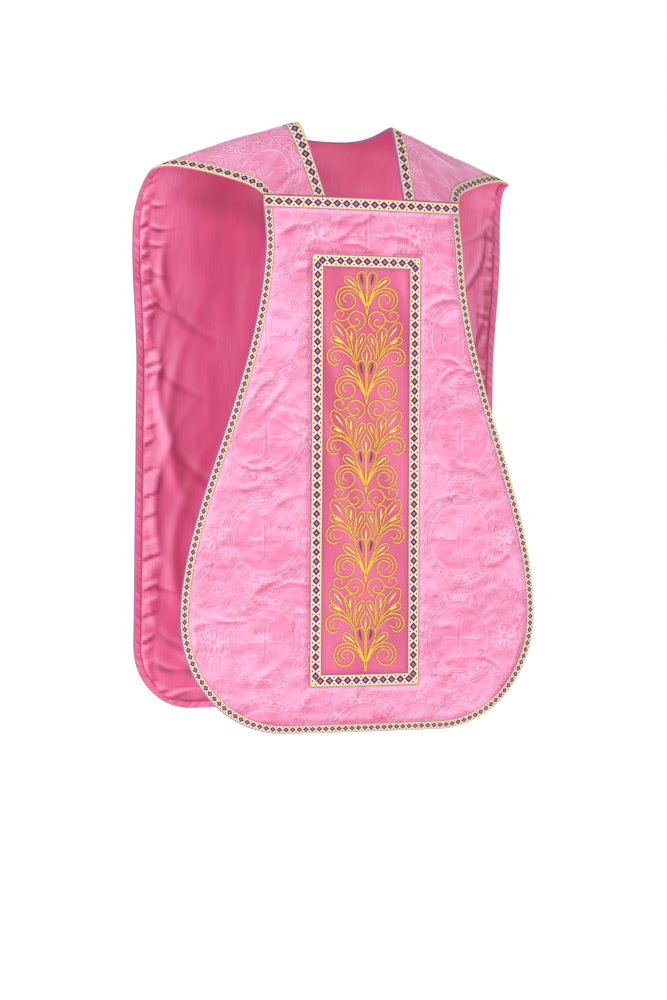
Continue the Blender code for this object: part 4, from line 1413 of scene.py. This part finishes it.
def add_group(name, surface, top, strokes, centre, material):
    """One embroidered group, both halves, as one piece."""
    both = [(kind, [(hand * x, y) for x, y in line]) for hand in (1.0, -1.0)
            for kind, line in strokes]
    points, uvs, faces, tones = [], [], [], []
    start = 0
    for number, (kind, line) in enumerate(both + list(centre)):
        rise = 1.0 + 0.10 * ((number * 7) % 5 - 2) / 2
        spots, uv = stroke_mesh(surface, top, kind, line, rise)
        points.append(spots.reshape(-1, 3))
        uvs.append(uv.reshape(-1, 2))
        faces += tube_faces(len(spots), start, surface is on_back)
        tones.append(np.full(uvs[-1].shape[0], STROKE_TONES[kind]))
        start += uvs[-1].shape[0]
    piece = add_mesh(f"gold_{name}", np.concatenate(points), faces, np.concatenate(uvs),
                     material, sharp=80.0)
    layer = piece.data.attributes.new("shade", "FLOAT", "POINT")
    layer.data.foreach_set("value", np.concatenate(tones).astype(np.float32))
    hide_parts(name)
    return piece


def add_embroidery(side, surface, made):
    top = ORPHREY_TOP_Z - WIDE_GALLOON - MOTIF_END_CLEAR
    bottom = ORPHREY_BOTTOM_Z + WIDE_GALLOON + MOTIF_END_CLEAR
    period = (top - bottom - PALMETTE_HEIGHT) / (MOTIF_COUNT - 1)
    pieces = []
    for i in range(MOTIF_COUNT):
        start = top - i * period
        pieces.append(add_group(f"{side}_palmette_{i + 1}", surface, start, PALMETTE, (),
                                made["gold"]))
        if i < MOTIF_COUNT - 1:
            pieces.append(add_group(f"{side}_acanthus_{i + 1}", surface, start, ACANTHUS,
                                    (FLAME_SEED,), made["gold"]))
    return pieces


def ground_shade(spots):
    """Soft slanting streaks of painted light, and painted shadow beside the frame."""
    x, z = spots[:, 6], spots[:, 7]
    room = ORPHREY_HALF - WIDE_GALLOON - np.abs(x)
    room = np.minimum(room, np.minimum(ORPHREY_TOP_Z - WIDE_GALLOON - z,
                                       z - ORPHREY_BOTTOM_Z - WIDE_GALLOON))
    streak = soft_noise(x + 0.25 * z, z - 0.25 * x, 0.020, 0.170, 71)
    return 0.22 * streak - 0.30 * (1.0 - ease(room / 0.010))


def add_orphrey(side, surface, made):
    """Satin ground with its frame and embroidery."""
    half = ORPHREY_HALF - 0.001
    top, bottom = ORPHREY_TOP_Z - 0.001, ORPHREY_BOTTOM_Z + 0.001
    x = np.linspace(-half, half, int(2 * half / CLOTH_STEP) + 1)
    z = np.linspace(top, bottom, int((top - bottom) / CLOTH_STEP) + 1)
    ground, area = add_shell(f"{side}_orphrey_satin", [surface(x[None, :], z[:, None])],
                             TRIM_LEVEL, TRIM_LEVEL + GROUND_THICK, made["orphrey"], None,
                             ground_shade)
    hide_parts(f"{side}_orphrey_ground")
    trims = add_orphrey_frame(side, surface, made) + add_embroidery(side, surface, made)
    for piece in [ground] + trims:
        if side == "back":
            bend(piece, side)
        else:
            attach(piece, "front_panel")
    return ground


# ---------------------------------------------------------------- lining hem
HEM_ACROSS = np.linspace(0.0, 1.0, 9)
HEM_STEP = 0.0014
STITCH_PITCH = 0.0040
STITCH_LENGTH = 0.0027
STITCH_WIDTH = 0.0008


def hem_strip(side):
    """Places of the hem; the back's runs on up the sides of the shoulders to the tips."""
    if side == "front":
        return panel_strip(on_front, *round_edge(front_side(HEM_STEP), CHEST_SEAM_Z - 0.001),
                           HEM_WIDTH, HEM_ACROSS)
    low = panel_strip(on_back, *round_edge(back_side(HEM_STEP), BACK_SEAM_Z - 0.5 * HEM_STEP),
                      HEM_WIDTH, HEM_ACROSS)
    stations = np.linspace(RING_FRONT, RING_FRONT + RING_SIDE, 130)
    share = braid_share(stations, 1.0, HEM_WIDTH)[:, None] * HEM_ACROSS[None, :]
    high = ring_place(stations[:, None] + 0.0 * share, 1.0 - share)
    return np.concatenate([high, low, mirrored(high)[::-1]])


def add_lining_hem(side, made):
    """Turned hem of the lining, stitched down and slightly puckered."""
    strip = hem_strip(side)
    steps = np.linalg.norm(np.diff(strip[:, 0, :3], axis=0), axis=1)
    strip[..., 6] = np.concatenate([[0.0], np.cumsum(steps)])[:, None]
    strip[..., 7] = HEM_ACROSS[None, :] * HEM_WIDTH

    def inner(spots):
        lean = spots[:, 6] + 0.9 * spots[:, 7]
        share = spots[:, 7] / HEM_WIDTH
        pull = 0.5 + 0.5 * soft_noise(lean, share, 0.0028, 2.0, 61)
        patch = 0.55 + 0.45 * soft_noise(spots[:, 6], share, 0.060, 5.0, 62)
        bulge = np.sin(math.pi * np.clip(share, 0.0, 1.0))
        return -(HEM_RAISE * 0.75 * bulge ** 0.35 + 0.0007 * pull * patch * bulge + 0.00025)

    # Painted light on the puckers, and darker along the stitched side of the hem.
    def shade(spots):
        lean = spots[:, 6] + 0.9 * spots[:, 7]
        share = spots[:, 7] / HEM_WIDTH
        pull = soft_noise(lean, share, 0.0034, 2.0, 61)
        return 0.55 * pull * np.sin(math.pi * share) - 0.75 * ease((share - 0.80) / 0.15)

    piece, _ = add_shell(f"{side}_lining_hem", [strip], inner, -0.0001, made["lining"], None,
                         shade)
    stitches = add_stitches(side, strip, made)
    for hem_piece in (piece, stitches):
        bend(hem_piece, side)
    return [piece, stitches]


def add_stitches(side, strip, made):
    """Row of small stitches that holds the hem."""
    row = strip[:, -2, :]
    along = strip[:, -2, 6]
    starts = np.arange(STITCH_PITCH, along[-1] - STITCH_PITCH, STITCH_PITCH)

    def sample(spots):
        return np.stack([np.interp(spots, along, row[:, k]) for k in range(6)], axis=-1)

    middle = sample(starts)
    ahead = unit(sample(starts + STITCH_LENGTH / 2)[:, :3] - middle[:, :3])
    normal = unit(middle[:, 3:6])
    sideways = unit(np.cross(normal, ahead))
    points, faces = [], []
    for level, narrow in ((0.0006, 1.0), (0.0016, 0.7)):
        for a, b in ((-1, -1), (1, -1), (1, 1), (-1, 1)):
            points.append(middle[:, :3] - normal * level + ahead * (a * narrow * STITCH_LENGTH / 2)
                          + sideways * (b * narrow * STITCH_WIDTH / 2))
    points = np.stack(points, axis=1)
    block = ((0, 1, 2, 3), (7, 6, 5, 4), (0, 4, 5, 1), (1, 5, 6, 2), (2, 6, 7, 3), (3, 7, 4, 0))
    for number in range(len(starts)):
        faces += [[number * 8 + k for k in face] for face in block]
    flat = np.repeat(np.stack([starts, 0.0 * starts], axis=-1), 8, axis=0)
    piece = add_mesh(f"{side}_hem_stitches", points.reshape(-1, 3), faces, flat, made["thread"])
    return piece


def flat_size(side):
    """Width and length that one cloth is cut from."""
    if side == "front":
        return 2 * SKIRT_HALF, CHEST_SEAM_Z - FRONT_HEM_Z
    return 2 * BACK_TOP_HALF, float(yoke_flat(NECK_FRONT_HALF, -1.0)[1]) - BACK_HEM_Z


def main():
    add_camera()
    add_floor()
    add_light()
    made = {
        "damask": make_damask(),
        "lining": make_satin("lining_satin", (0.72, 0.090, 0.240), (0.88, 0.190, 0.400), 0.30),
        "orphrey": make_satin("orphrey_satin", (0.66, 0.082, 0.200), (0.82, 0.160, 0.325), 0.42),
        "thread": make_satin("sewing_thread", (0.42, 0.02, 0.09), (0.60, 0.06, 0.18), 0.5),
        "canvas": make_canvas(),
        "galloon": make_galloon(),
        "gold": make_gold(),
    }
    braids = add_edge_braids(made)
    shoulder = add_shoulder_braids(made)
    for side, surface in (("front", on_front), ("back", on_back)):
        cloths, area = add_cloths(made, side)
        width, length = flat_size(side)
        add_orphrey(side, surface, made)
        hems = add_lining_hem(side, made)
        for piece in cloths.values():
            bend(piece, side)
        trims = braids[side] + (shoulder if side == "back" else [])


main()
